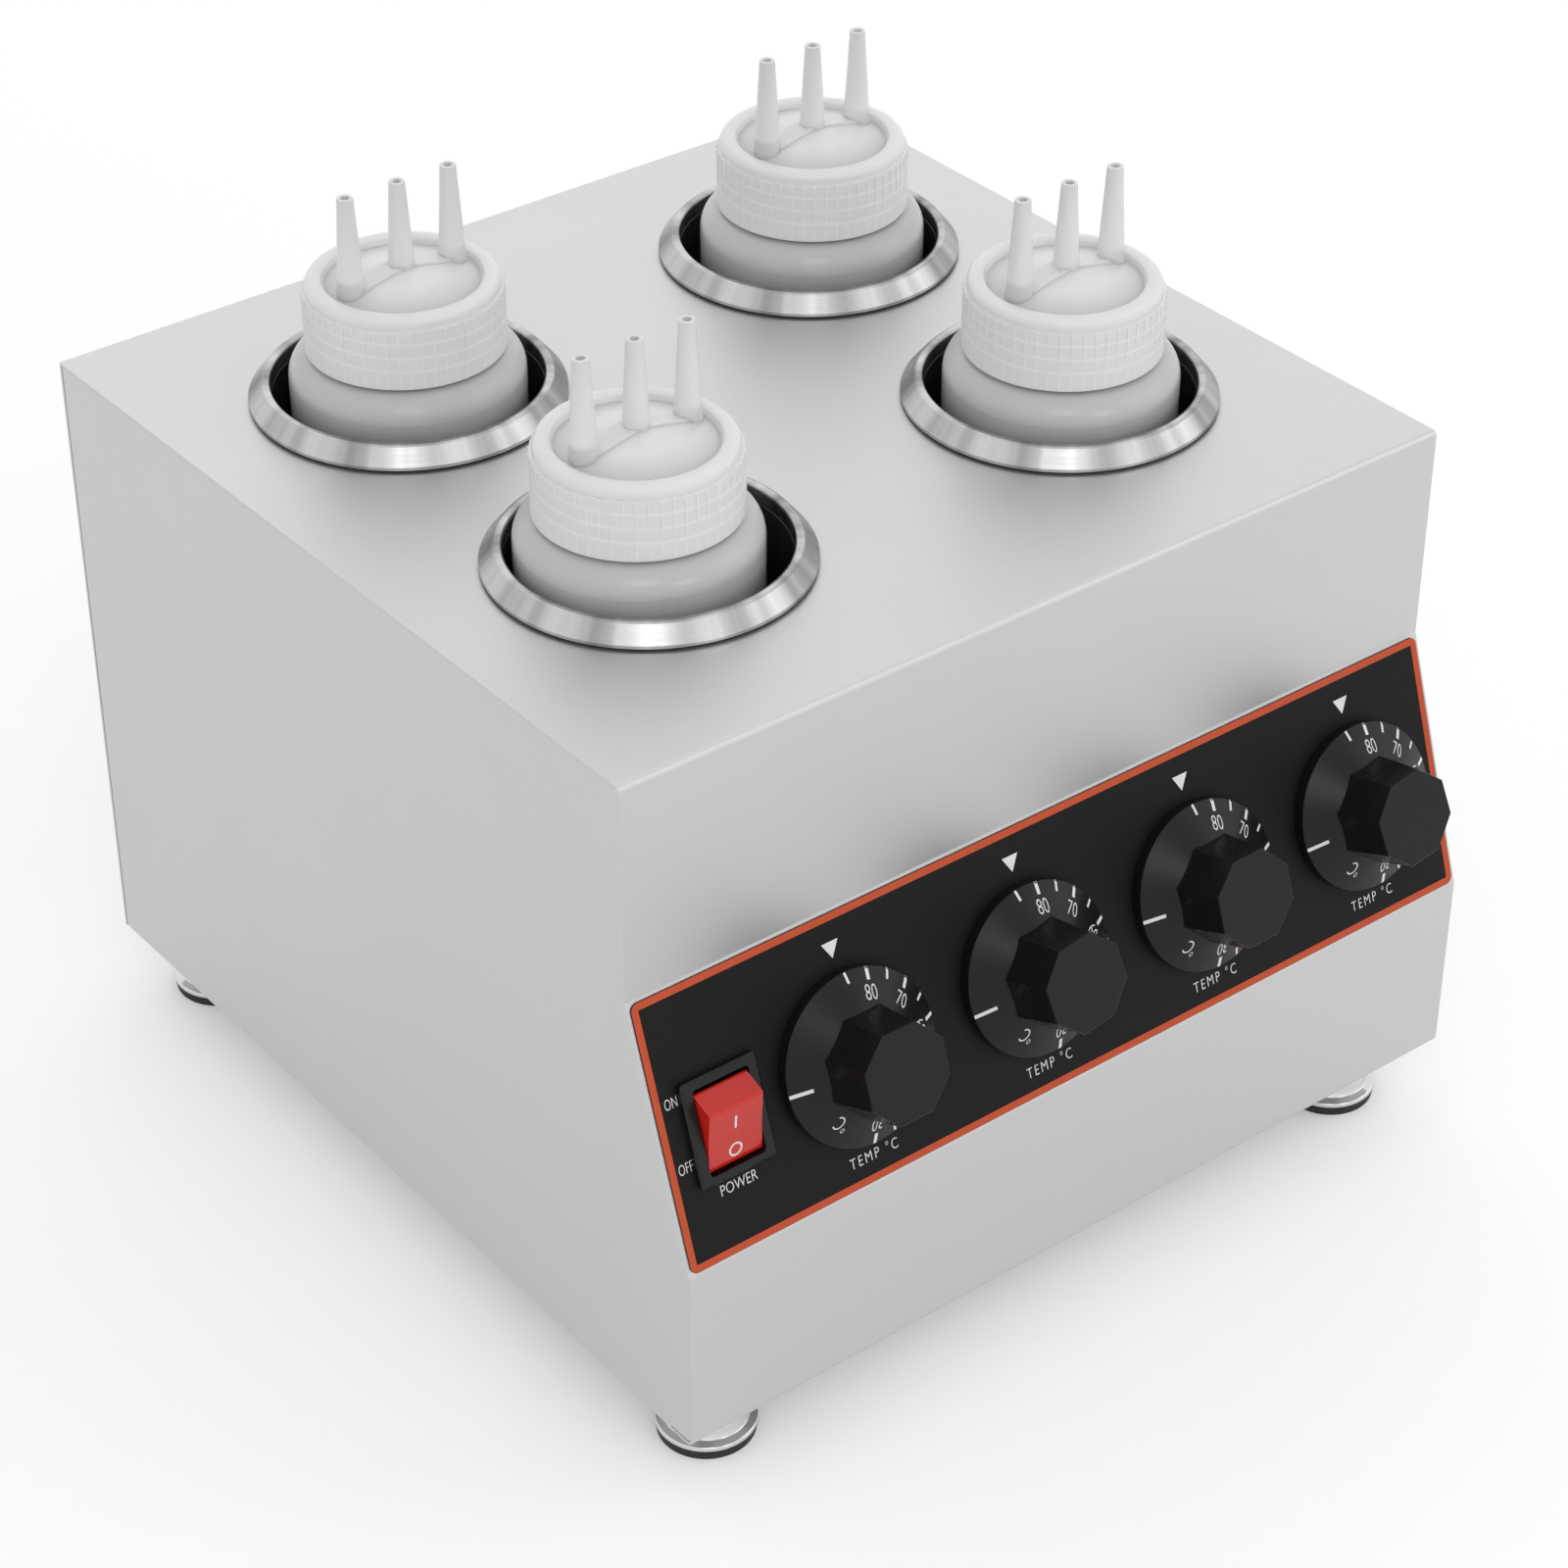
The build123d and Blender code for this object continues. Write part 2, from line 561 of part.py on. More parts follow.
def heater_band():
    """Open band heater round the cup, with two ears for the clamp screws; opens towards +X."""
    low = -WELL_DEPTH + BAND_ABOVE_FLOOR
    section = Plane.XZ * outline(
        (BAND_R, low),
        (BAND_R + BAND_WALL, low),
        (BAND_R + BAND_WALL, low + BAND_HEIGHT),
        (BAND_R, low + BAND_HEIGHT),
    )
    band = revolve(section, Axis.Z, 360 - BAND_GAP_ANGLE)
    band = Rot(0, 0, BAND_GAP_ANGLE / 2) * band
    near, far = clamp_ear()
    start = BAND_R * cos(radians(BAND_GAP_ANGLE / 2)) + BAND_WALL / 4
    for z in clamp_heights():
        height = (z - EAR_HEIGHT / 2, z + EAR_HEIGHT / 2)
        ear = block((start, BAND_R + BAND_WALL + EAR_LENGTH), (near, far), height)
        ear -= Pos(clamp_reach(), near, z) * Rot(90, 0, 0) * Cylinder(SCREW_R, 4 * EAR_WALL)
        band += [ear, mirror(ear, Plane.XZ)]
    return band


def clamp_heights():
    """Heights of a band's two clamp screws, from the deck."""
    middle = -WELL_DEPTH + BAND_ABOVE_FLOOR + BAND_HEIGHT / 2
    return middle - BAND_HEIGHT / 4, middle + BAND_HEIGHT / 4


def clamp_reach():
    """Distance of the clamp screws from the band's axis."""
    return BAND_R + BAND_WALL + EAR_LENGTH - EAR_HEIGHT / 2


def clamp_ear():
    """Inner and outer face of an ear, from the middle of the band's opening."""
    near = BAND_R * sin(radians(BAND_GAP_ANGLE / 2))
    return near, near + EAR_WALL


def heater_clamp_screws():
    """Screw and nut across the opening of each band heater, two to a band."""
    seat = clamp_ear()[1]
    nut_shape = RegularPolygon(CLAMP_NUT_FLATS / 2, 6, major_radius=False) - Circle(SCREW_R)
    nut = Pos(0, 0, -2 * seat - CLAMP_NUT) * extrude(nut_shape, CLAMP_NUT)
    pair = [pan_screw(2 * seat + CLAMP_NUT + SCREW_TIP), nut]
    fitted = []
    for x, y in WELLS.values():
        facing = Rot(0, 0, 180 if x > 0 else 0)
        for z in clamp_heights():
            across = Plane(origin=(clamp_reach(), seat, z), x_dir=(1, 0, 0), z_dir=(0, 1, 0))
            fitted += [Pos(x, y, TOP_Z) * facing * (across * piece) for piece in pair]
    return Part() + fitted


# ---------------------------------------------------------------- bottle and cap
def bottle():
    """Blown squeeze bottle, hollow, with a plain neck; stands on Z = 0."""
    neck_top = SHOULDER_HEIGHT + NECK_HEIGHT
    inner_r = BOTTLE_R - BOTTLE_WALL
    inner_neck = NECK_R - NECK_WALL
    return turned(
        (0, BASE_DIMPLE),
        (BOTTLE_R - BASE_RING - 2, BASE_DIMPLE, 2),
        (BOTTLE_R - BASE_RING, 0, 1),
        (BOTTLE_R, 0, BASE_ROUND),
        (BOTTLE_R, SHOULDER_HEIGHT, SHOULDER_ROUND),
        (NECK_R, SHOULDER_HEIGHT, 0.8),
        (NECK_R, neck_top),
        (inner_neck, neck_top),
        (inner_neck, SHOULDER_HEIGHT - BOTTLE_WALL, 0.5),
        (inner_r, SHOULDER_HEIGHT - BOTTLE_WALL, SHOULDER_ROUND - BOTTLE_WALL),
        (inner_r, BOTTLE_WALL, BASE_ROUND - BOTTLE_WALL),
        (BOTTLE_R - BASE_RING + 0.8, BOTTLE_WALL, 1),
        (BOTTLE_R - BASE_RING - 1.2, BASE_DIMPLE + BOTTLE_WALL, 2),
        (0, BASE_DIMPLE + BOTTLE_WALL),
    )


def bottle_cap():
    """Screw cap with a ribbed skirt, a sunk top and three dispensing nozzles in a row."""
    low = SHOULDER_HEIGHT + CAP_GAP
    top = low + CAP_HEIGHT
    floor = top - CAP_SINK
    neck_top = SHOULDER_HEIGHT + NECK_HEIGHT
    under = neck_top + CAP_SEAL_GAP
    shell = turned(
        (0, floor),
        (CAP_LIP_R - CAP_SINK / 2, floor, 0.8),
        (CAP_LIP_R, top - 0.4, 0.4),
        (CAP_LIP_R + 1.2, top, 0.4),
        (CAP_TOP_R, top, CAP_ROUND),
        (CAP_TOP_R, low + CAP_BAND_HEIGHT),
        (CAP_BAND_R, low + CAP_BAND_HEIGHT),
        (CAP_EDGE_R, low, 0.4),
        (CAP_BORE_R, low),
        (CAP_BORE_R, top - CAP_WALL, 1),
        (NECK_R - NECK_WALL, top - CAP_WALL, 1),
        (NECK_R - NECK_WALL, under),
        (0, under),
    )
    rib_length = CAP_BAND_HEIGHT - 2 * RIB_END
    rib_z = low + RIB_END + rib_length / 2
    rib = Pos(CAP_BAND_R, 0, rib_z) * Box(2 * RIB_R, 2 * RIB_R, rib_length)
    shell += [Rot(0, 0, 360 * i / CAP_RIBS) * rib for i in range(CAP_RIBS)]
    shell += Pos(0, 0, floor + WEB_HEIGHT / 2) * Box(2 * NOZZLE_PITCH, WEB_WIDTH, WEB_HEIGHT)
    for i in (-1, 0, 1):
        nozzle = Cone(NOZZLE_BASE_R, NOZZLE_TIP_R, NOZZLE_LENGTH)
        shell += Pos(i * NOZZLE_PITCH, 0, floor + NOZZLE_LENGTH / 2) * nozzle
    for i in (-1, 0, 1):
        shell -= Pos(i * NOZZLE_PITCH, 0) * drill(NOZZLE_BORE_R, under - 1, floor + NOZZLE_LENGTH + 1)
    return shell


# ---------------------------------------------------------------- dials
def dial_knob():
    """Skirted dial with an eight-sided tapered grip, hollow underneath, on a boss with a D bore."""
    rim_low = OVERLAY + KNOB_LIFT
    cone_run = KNOB_R - GRIP_FLATS / 2
    inner_rim = KNOB_R - KNOB_WALL
    inner_top = GRIP_FACE_FLATS / 2 - KNOB_WALL
    slope = (KNOB_CONE_TOP - KNOB_RIM) / cone_run
    skirt = turned(
        (0, rim_low),
        (KNOB_R - 0.2, rim_low),
        (KNOB_R, KNOB_RIM, 0.3),
        (GRIP_FLATS / 2, KNOB_CONE_TOP),
        (0, KNOB_CONE_TOP),
    )
    grip_base = RegularPolygon(GRIP_FLATS / 2, GRIP_SIDES, major_radius=False, rotation=180 / GRIP_SIDES)
    grip_face = RegularPolygon(
        GRIP_FACE_FLATS / 2, GRIP_SIDES, major_radius=False, rotation=180 / GRIP_SIDES
    )
    grip_low = KNOB_RIM
    grow = (GRIP_FLATS - GRIP_FACE_FLATS) / (KNOB_HEIGHT - KNOB_CONE_TOP) / 2
    low_scale = 1 + grow * (KNOB_CONE_TOP - grip_low) / (GRIP_FLATS / 2)
    grip = loft([Pos(0, 0, grip_low) * scale(grip_base, low_scale), Pos(0, 0, KNOB_HEIGHT) * grip_face])
    grip = fillet(grip.faces().sort_by(Axis.Z)[-1].edges(), GRIP_EDGE)
    knob = skirt + grip
    hollow = turned(
        (0, 0),
        (inner_rim, 0),
        (inner_rim, KNOB_RIM - KNOB_WALL / 2),
        (inner_top + 1, KNOB_RIM - KNOB_WALL / 2 + slope * (inner_rim - inner_top - 1)),
        (inner_top, KNOB_HEIGHT - KNOB_WALL),
        (0, KNOB_HEIGHT - KNOB_WALL),
    )
    knob -= hollow
    boss = drill(KNOB_BOSS_R, KNOB_BOSS_LIFT, KNOB_HEIGHT - KNOB_WALL / 2)
    return knob + boss - shaft_solid(SHAFT_FIT, 0, SHAFT_TIP + SHAFT_FIT)


def shaft_solid(grow, low, high):
    """Round bar with one flat along it, larger by grow all round."""
    bar = drill(SHAFT_R + grow, low, high)
    far = SHAFT_R + 2
    return bar - block((SHAFT_FLAT + grow, far), (-far, far), (low - 1, high + 1))


def thermostat_shaft():
    """Thermostat's spindle, with a flat where the dial sits."""
    return drill(SHAFT_R, -SHAFT_ROOT, BUSH_TIP) + shaft_solid(0, BUSH_TIP, SHAFT_TIP)


def thermostat_body():
    """Thermostat behind the panel: bracket, bush, housing and two blade terminals."""
    back = -SHEET - BRACKET - THERMOSTAT_DEPTH
    bracket = block(
        (-BRACKET_WIDTH / 2, BRACKET_WIDTH / 2),
        (-BRACKET_HEIGHT / 2, BRACKET_HEIGHT / 2),
        (-SHEET - BRACKET, -SHEET),
    )
    housing = Pos(0, 0, back) * extrude(
        RectangleRounded(THERMOSTAT_WIDTH, THERMOSTAT_HEIGHT, THERMOSTAT_ROUND), THERMOSTAT_DEPTH
    )
    body = bracket + housing + drill(BUSH_R, -SHEET, BUSH_TIP)
    for side in (-1, 1):
        pocket = Pos(side * THERMOSTAT_SCREW_PITCH / 2, 0)
        body -= pocket * drill(SCREW_R, -SHEET - BRACKET - 6, 0)
        body += Pos(side * THERMOSTAT_WIDTH / 4, 0, back - TAB_LENGTH / 2) * Box(
            TAB_THICKNESS, TAB_WIDTH, TAB_LENGTH
        )
    body -= drill(SHAFT_R + 2 * SHAFT_FIT, -SHAFT_ROOT - 0.3, BUSH_TIP + 1)
    return body


def capillary_route(well):
    """Points of a thermostat's capillary, from its housing to the bulb beside its well."""
    dial_x, dial_y = DIALS[well]
    well_x, well_y = WELLS[well]
    start_z = -SHEET - BRACKET - THERMOSTAT_DEPTH / 2
    start = PANEL.from_local_coords(Vector(dial_x, dial_y - THERMOSTAT_HEIGHT / 2 + 1, start_z))
    leave_y = dial_y - THERMOSTAT_HEIGHT / 2 - CAPILLARY_EXIT
    leave = PANEL.from_local_coords(Vector(dial_x, leave_y, start_z))
    lane_y, drop = CAPILLARY_LANES[well.split("_")[0]]
    level = CUP_FLOOR_Z - drop
    bulb_x = well_x - (1 if well_x > 0 else -1) * BULB_PLACE_R
    bulb_low = CUP_FLOOR_Z + BAND_ABOVE_FLOOR - BULB_DROP
    return (
        tuple(start),
        tuple(leave),
        (dial_x, lane_y, level),
        (bulb_x, lane_y, level),
        (bulb_x, well_y, level),
        (bulb_x, well_y, bulb_low + 1),
    )


def thermostat(well):
    """Complete capillary thermostat: body, capillary and the bulb against its cup."""
    x, y = DIALS[well]
    route = capillary_route(well)
    path = FilletPolyline(*route, radius=CAPILLARY_BEND)
    tube = sweep(Plane(path @ 0, z_dir=path % 0) * Circle(CAPILLARY_R), path)
    bulb_x, bulb_y, bulb_z = route[-1]
    bulb = Pos(bulb_x, bulb_y, bulb_z - 1 + BULB_LENGTH / 2) * Cylinder(BULB_R, BULB_LENGTH)
    bulb = fillet(bulb.edges(), 1)
    return PANEL * (Pos(x, y) * thermostat_body()) + tube + bulb


# ---------------------------------------------------------------- switch
def switch_body():
    """Snap-in rocker switch: bezel, housing, retaining wings and four blade terminals."""
    bezel = Pos(0, 0, OVERLAY) * extrude(
        RectangleRounded(BEZEL_WIDTH, BEZEL_HEIGHT, BEZEL_CORNER), BEZEL_RISE - OVERLAY
    )
    bezel = chamfer(bezel.faces().sort_by(Axis.Z)[-1].edges(), BEZEL_CHAMFER)
    body = bezel + block(
        (-SWITCH_BODY_WIDTH / 2, SWITCH_BODY_WIDTH / 2),
        (-SWITCH_BODY_HEIGHT / 2, SWITCH_BODY_HEIGHT / 2),
        (-SWITCH_BODY_DEPTH, OVERLAY),
    )
    tab_x, tab_y = SWITCH_TAB_PLACE
    for side in (-1, 1):
        wing = Plane.YZ * outline(
            (side * (SWITCH_BODY_HEIGHT / 2 - 0.2), -SHEET - SEAM),
            (side * (SWITCH_BODY_HEIGHT / 2 + WING), -SHEET - SEAM),
            (side * (SWITCH_BODY_HEIGHT / 2 - 0.2), -SHEET - 5),
        )
        body += extrude(wing, ROCKER_WELL_WIDTH / 3, both=True)
        for row in (-1, 1):
            body += Pos(side * tab_x, row * tab_y, -SWITCH_BODY_DEPTH - TAB_LENGTH / 2) * Box(
                TAB_THICKNESS, SWITCH_TAB_WIDTH, TAB_LENGTH
            )
    well_shape = RectangleRounded(ROCKER_WELL_WIDTH, ROCKER_WELL_HEIGHT, BEZEL_CORNER)
    body -= Pos(0, 0, -ROCKER_WELL_DEPTH) * extrude(well_shape, ROCKER_WELL_DEPTH + BEZEL_RISE + 1)
    pivot_hole = Pos(0, 0, -PIVOT_DEPTH) * Rot(0, 90, 0)
    return body - pivot_hole * Cylinder(PIN_R + PIN_FIT, ROCKER_WELL_WIDTH + 2 * PIN_LENGTH + PIN_FIT)


def switch_rocker():
    """Rocker with its off end pressed in, on two pins."""
    end = ROCKER_WELL_HEIGHT / 2 - ROCKER_GAP
    side = (
        (ROCKER_TOP / 2, ROCKER_LIFT, 1.0),
        (end, 1.0, 0.6),
        (0.7 * end, -0.4 * ROCKER_BELLY, 1.0),
        (ROCKER_BELLY / 2, -ROCKER_BELLY, 1.0),
    )
    mirrored = tuple((-along, up, rounding) for along, up, rounding in reversed(side))
    shape = outline(*side, *mirrored, (0, ROCKER_LIFT - ROCKER_SAG, 40.0))
    rocker = extrude(Plane.YZ * shape, ROCKER_WIDTH / 2, both=True)
    pins = Rot(0, 90, 0) * Cylinder(PIN_R, ROCKER_WIDTH + 2 * (ROCKER_GAP + PIN_LENGTH))
    return Pos(0, 0, -PIVOT_DEPTH) * Rot(ROCKER_TILT, 0, 0) * (rocker + pins)


# ---------------------------------------------------------------- mains entry
def cord_gland():
    """Cable gland in the rear panel: hexagon, domed clamping nut and a threaded tail."""
    tail = SHEET + GLAND_TAIL
    hexagon = extrude(RegularPolygon(GLAND_HEX / 2, 6, major_radius=False), GLAND_HEX_DEPTH)
    dome = turned(
        (0, GLAND_HEX_DEPTH),
        (GLAND_DOME_R, GLAND_HEX_DEPTH),
        (GLAND_DOME_R, GLAND_HEX_DEPTH + GLAND_DOME_DEPTH, 5),
        (0, GLAND_HEX_DEPTH + GLAND_DOME_DEPTH),
    )
    gland = hexagon + dome + drill(GLAND_THREAD_R, -tail, 0)
    return gland - drill(GLAND_BORE_R, -tail - 1, GLAND_HEX_DEPTH + GLAND_DOME_DEPTH + 1)


def gland_locknut():
    """Locknut inside the rear panel."""
    shape = RegularPolygon(GLAND_HEX / 2, 6, major_radius=False) - Circle(GLAND_THREAD_R + SCREW_FIT)
    return Pos(0, 0, -SHEET - GLAND_NUT) * extrude(shape, GLAND_NUT)


def terminal_block():
    """Ceramic connector block on the base plate, open along each pole."""
    length = BLOCK_POLES * BLOCK_PITCH
    body = extrude(RectangleRounded(length, BLOCK_DEPTH, 1.5), BLOCK_HEIGHT)
    for i in range(BLOCK_POLES):
        x = (i - (BLOCK_POLES - 1) / 2) * BLOCK_PITCH
        body -= Pos(x, 0, BLOCK_HEIGHT / 2) * Rot(90, 0, 0) * Cylinder(BLOCK_BORE_R, BLOCK_DEPTH + 2)
        for side in (-1, 1):
            body -= Pos(x, side * BLOCK_DEPTH / 4) * drill(SCREW_R, BLOCK_HEIGHT / 2, BLOCK_HEIGHT + 1)
    return body


# ---------------------------------------------------------------- assembly
def build():
    """Every piece by its node name, in the casing's own axes."""
    pieces = {
        "front_top_wrap": front_top_wrap(),
        "left_side_panel": side_panel(-1),
        "right_side_panel": side_panel(1),
        "rear_panel": rear_panel(),
        "base_plate": base_plate(),
        "control_overlay": control_overlay(),
        "pan_head_screws": pan_head_screws(),
        "foot_screws": foot_screws(),
        "foot_nuts": foot_nuts(),
        "heater_clamp_screws": heater_clamp_screws(),
        "switch_body": PANEL * Pos(SWITCH_X, -SWITCH_DROP) * switch_body(),
        "switch_rocker": PANEL * Pos(SWITCH_X, -SWITCH_DROP) * switch_rocker(),
        "cord_gland": REAR * Pos(-GLAND_X, GLAND_Z) * cord_gland(),
        "gland_locknut": REAR * Pos(-GLAND_X, GLAND_Z) * gland_locknut(),
        "terminal_block": Pos(BLOCK_X, DECK_DEPTH - BLOCK_REAR_INSET, BASE_TOP_Z) * terminal_block(),
    }
    cup, ring, gasket, band = well_cup(), trim_ring(), ring_gasket(), heater_band()
    body, cap = bottle(), bottle_cap()
    for name, (x, y) in WELLS.items():
        facing = Rot(0, 0, 180 if x > 0 else 0)
        place = Pos(x, y, TOP_Z)
        shift_x, shift_y = BOTTLE_SHIFT[name]
        stand = Pos(x + shift_x, y + shift_y, CUP_FLOOR_Z)
        pieces[f"well_cup_{name}"] = place * cup
        pieces[f"trim_ring_{name}"] = place * ring
        pieces[f"ring_gasket_{name}"] = place * gasket
        pieces[f"heater_band_{name}"] = place * facing * band
        pieces[f"bottle_{name}"] = stand * body
        pieces[f"bottle_cap_{name}"] = stand * cap
    knob, shaft = dial_knob(), thermostat_shaft()
    for (name, (x, y)), turn in zip(DIALS.items(), DIAL_TURNS):
        place = PANEL * Pos(x, y) * Rot(0, 0, turn)
        pieces[f"thermostat_{name}"] = thermostat(name)
        pieces[f"thermostat_shaft_{name}"] = place * shaft
        pieces[f"dial_knob_{name}"] = place * knob
    foot, pad = foot_cup(), foot_pad()
    for name, (x, y) in FEET.items():
        pieces[f"foot_cup_{name}"] = Pos(x, y) * foot
        pieces[f"foot_pad_{name}"] = Pos(x, y) * pad
    return pieces


def main():
    pieces = build()
    boxes = [piece.bounding_box() for piece in pieces.values()]
    front, rear = min(box.min.Y for box in boxes), max(box.max.Y for box in boxes)
    centre = Pos(0, -(front + rear) / 2)
    os.makedirs("parts", exist_ok=True)
    for name, piece in pieces.items():
        export_step(centre * piece, f"parts/{name}.step")
    print("pieces", len(pieces), "moved back by", centre.position.Y)


main()
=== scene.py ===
"""Looks of a four-well topping warmer. Laid out as an add-on, and run as a script."""

import json
import math

import bmesh
import bpy
from bpy.props import FloatProperty, FloatVectorProperty, IntProperty, PointerProperty, StringProperty
from mathutils import Matrix, Vector
from mathutils.bvhtree import BVHTree


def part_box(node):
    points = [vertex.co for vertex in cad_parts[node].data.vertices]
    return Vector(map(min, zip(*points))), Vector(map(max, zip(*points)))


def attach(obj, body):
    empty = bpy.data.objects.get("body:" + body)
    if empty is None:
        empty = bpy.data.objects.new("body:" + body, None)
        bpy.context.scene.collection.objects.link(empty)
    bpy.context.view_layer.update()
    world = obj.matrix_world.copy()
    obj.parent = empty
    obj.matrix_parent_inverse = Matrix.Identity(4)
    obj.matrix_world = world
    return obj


bl_info = {
    "name": "Topping Warmer",
    "version": (1, 0, 0),
    "blender": (4, 5, 0),
    "location": "View3D > Sidebar > Warmer",
    "description": "Finishes, printing and stage of a four-well topping warmer",
    "category": "Object",
}

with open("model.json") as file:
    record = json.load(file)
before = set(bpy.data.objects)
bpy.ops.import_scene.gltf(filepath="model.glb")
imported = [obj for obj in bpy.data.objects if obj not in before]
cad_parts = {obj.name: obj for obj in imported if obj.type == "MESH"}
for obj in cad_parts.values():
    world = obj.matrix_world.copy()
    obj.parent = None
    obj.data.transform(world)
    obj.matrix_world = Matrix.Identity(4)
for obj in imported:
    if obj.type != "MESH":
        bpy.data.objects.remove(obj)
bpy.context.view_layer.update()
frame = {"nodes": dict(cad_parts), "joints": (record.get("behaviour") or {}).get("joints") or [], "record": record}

WELLS = ("front_left", "front_right", "back_left", "back_right")
HIGHEST, LOWEST = 85, 30  # temperatures at the ends of a dial's scale
MARK_ANGLE = 16.7  # degrees between marks, five degrees Celsius apart
UNIT_ANGLE = -132  # places of the unit and the off mark, from the panel's +X
OFF_ANGLE = 183
JOINTS = {joint["name"]: joint for joint in frame["joints"]}
NODES_OF_SLOT = {}
for part in frame["record"]["subparts"]:
    NODES_OF_SLOT.setdefault(part["material_slot"], []).append(part["node"])

# ---------------------------------------------------------------- fixed sizes
SWITCH_BAR = (0.0007, 0.0044)  # mark of the rocker's on end: width and height
SWITCH_BAR_RISE = 0.0040  # above the pivot
SWITCH_RING = (0.0023, 0.0017)  # mark of its off end: outer and inner radius
SWITCH_RING_DROP = 0.0058
CAPITAL = 0.69  # height of a capital against the size of its letters
LETTER_THINNING = -0.007  # against the size of the letters
PRINT_REACH = 0.04  # how far above and below its plane a printed mark looks for what carries it
SPLIT_ROUNDS = 6  # at most, for the edges of a printed mark
BORDER_MARGIN = 0.0001  # between the printed border and the film's edge
CAP_ROUGHNESS = 0.28
CAP_CLEARNESS = 0.15
DOME_POWER = 1.2  # a lower power draws the dome up to a softer point
DOME_STEPS = 12  # from the dome's middle to its edge
NOZZLE_SHORT = 0.0003  # the flared cover ends that much below the nozzle's own tip
NOZZLE_CORE = 0.0019  # hole of the cover, inside the nozzle's own wall
NOZZLE_SIDES = 32
SHARP_EDGE = 30  # degrees between faces of a cap's dome that read as an edge
FLOOR_SIZE = 12.0  # width of the square floor
LAMPS = {  # place, size and power in watts
    "key_lamp": ((-1.0, -1.4, 1.7), 0.9, 5),
    "fill_lamp": ((1.6, -1.1, 1.2), 1.4, 4),
    "front_lamp": ((0.05, -1.9, 1.0), 0.5, 2.5),
    "back_lamp": ((0.9, 1.6, 1.5), 2.4, 5),
}
LAMP_TARGET = (0, 0, 0.15)


# ---------------------------------------------------------------- settings
def colour(name, description, default):
    """A colour property."""
    return FloatVectorProperty(
        name=name, description=description, default=default, size=3, min=0, max=1, subtype="COLOR"
    )


def length(name, description, default):
    """A length property, in metres."""
    return FloatProperty(
        name=name, description=description, default=default, min=0, unit="LENGTH", subtype="DISTANCE", precision=5
    )


def place(name, description, default):
    """A place in a plane, in metres."""
    return FloatVectorProperty(name=name, description=description, default=default, size=2, unit="LENGTH")


def share(name, description, default):
    """A property between 0 and 1."""
    return FloatProperty(name=name, description=description, default=default, min=0, max=1, subtype="FACTOR")


class SteelSettings(bpy.types.PropertyGroup):
    casing: colour("Casing", "Satin stainless sheet", (0.60, 0.60, 0.60))
    casing_roughness: share("Casing Roughness", "How dull the sheet is", 0.47)
    ring: colour("Trim Ring", "Turned and brushed ring", (0.68, 0.68, 0.68))
    cup: colour("Well Cup", "Dark inside of a well", (0.045, 0.045, 0.047))
    plated: colour("Plated Parts", "Feet, shafts and screws", (0.70, 0.70, 0.70))


class PlasticSettings(bpy.types.PropertyGroup):
    # The bottle's colour is its milky plastic, darkened to a mid grey as painted shade of the dark well it stands in.
    bottle: colour("Bottle", "Milky translucent body", (0.56, 0.56, 0.56))
    cap: colour("Cap", "Milky translucent cap", (0.90, 0.90, 0.90))
    # Painted light: colour of the lines over the cap's ribs and of the thread seen through its skirt.
    thread: colour("Thread Lines", "Thread that shows through the cap's skirt", (1.0, 1.0, 1.0))
    dial: colour("Dial", "Satin black moulding", (0.008, 0.008, 0.008))
    rocker: colour("Rocker", "Translucent red", (0.74, 0.018, 0.008))
    rubber: colour("Rubber", "Pads and gaskets", (0.012, 0.012, 0.012))
    thread_pitch: length("Thread Pitch", "Rise of the thread in one turn", 0.0044)
    cap_ribs: IntProperty(name="Cap Ribs", description="Ribs round a cap", default=54, min=1)
    rib_high: length("Rib End", "Upper end of the ribs above the cap's edge", 0.0187)
    thread_low: length("Thread Start", "Lowest thread line above the cap's edge", 0.0030)
    thread_high: length("Thread End", "Highest thread line above the cap's edge", 0.0155)
    dome_radius: length("Dome Radius", "Domed floor inside a cap's rim", 0.0238)
    dome_rise: length("Dome Rise", "Middle of the dome above the rim", 0.0035)
    dome_sink: length("Dome Sink", "Edge of the dome below the rim", 0.0022)
    web_width: length("Web Width", "Raised web between the nozzles", 0.0070)
    web_rise: length("Web Rise", "Web above the dome", 0.0010)
    nozzle_rise: length("Nozzle Rise", "Nozzle tips above the rim", 0.0300)
    nozzle_pitch: length("Nozzle Pitch", "Distance between nozzles", 0.0179)
    nozzle_root: length("Nozzle Root", "Radius of a nozzle at the dome's edge", 0.0043)
    nozzle_tip: length("Nozzle Tip", "Radius of a nozzle at its tip", 0.00245)


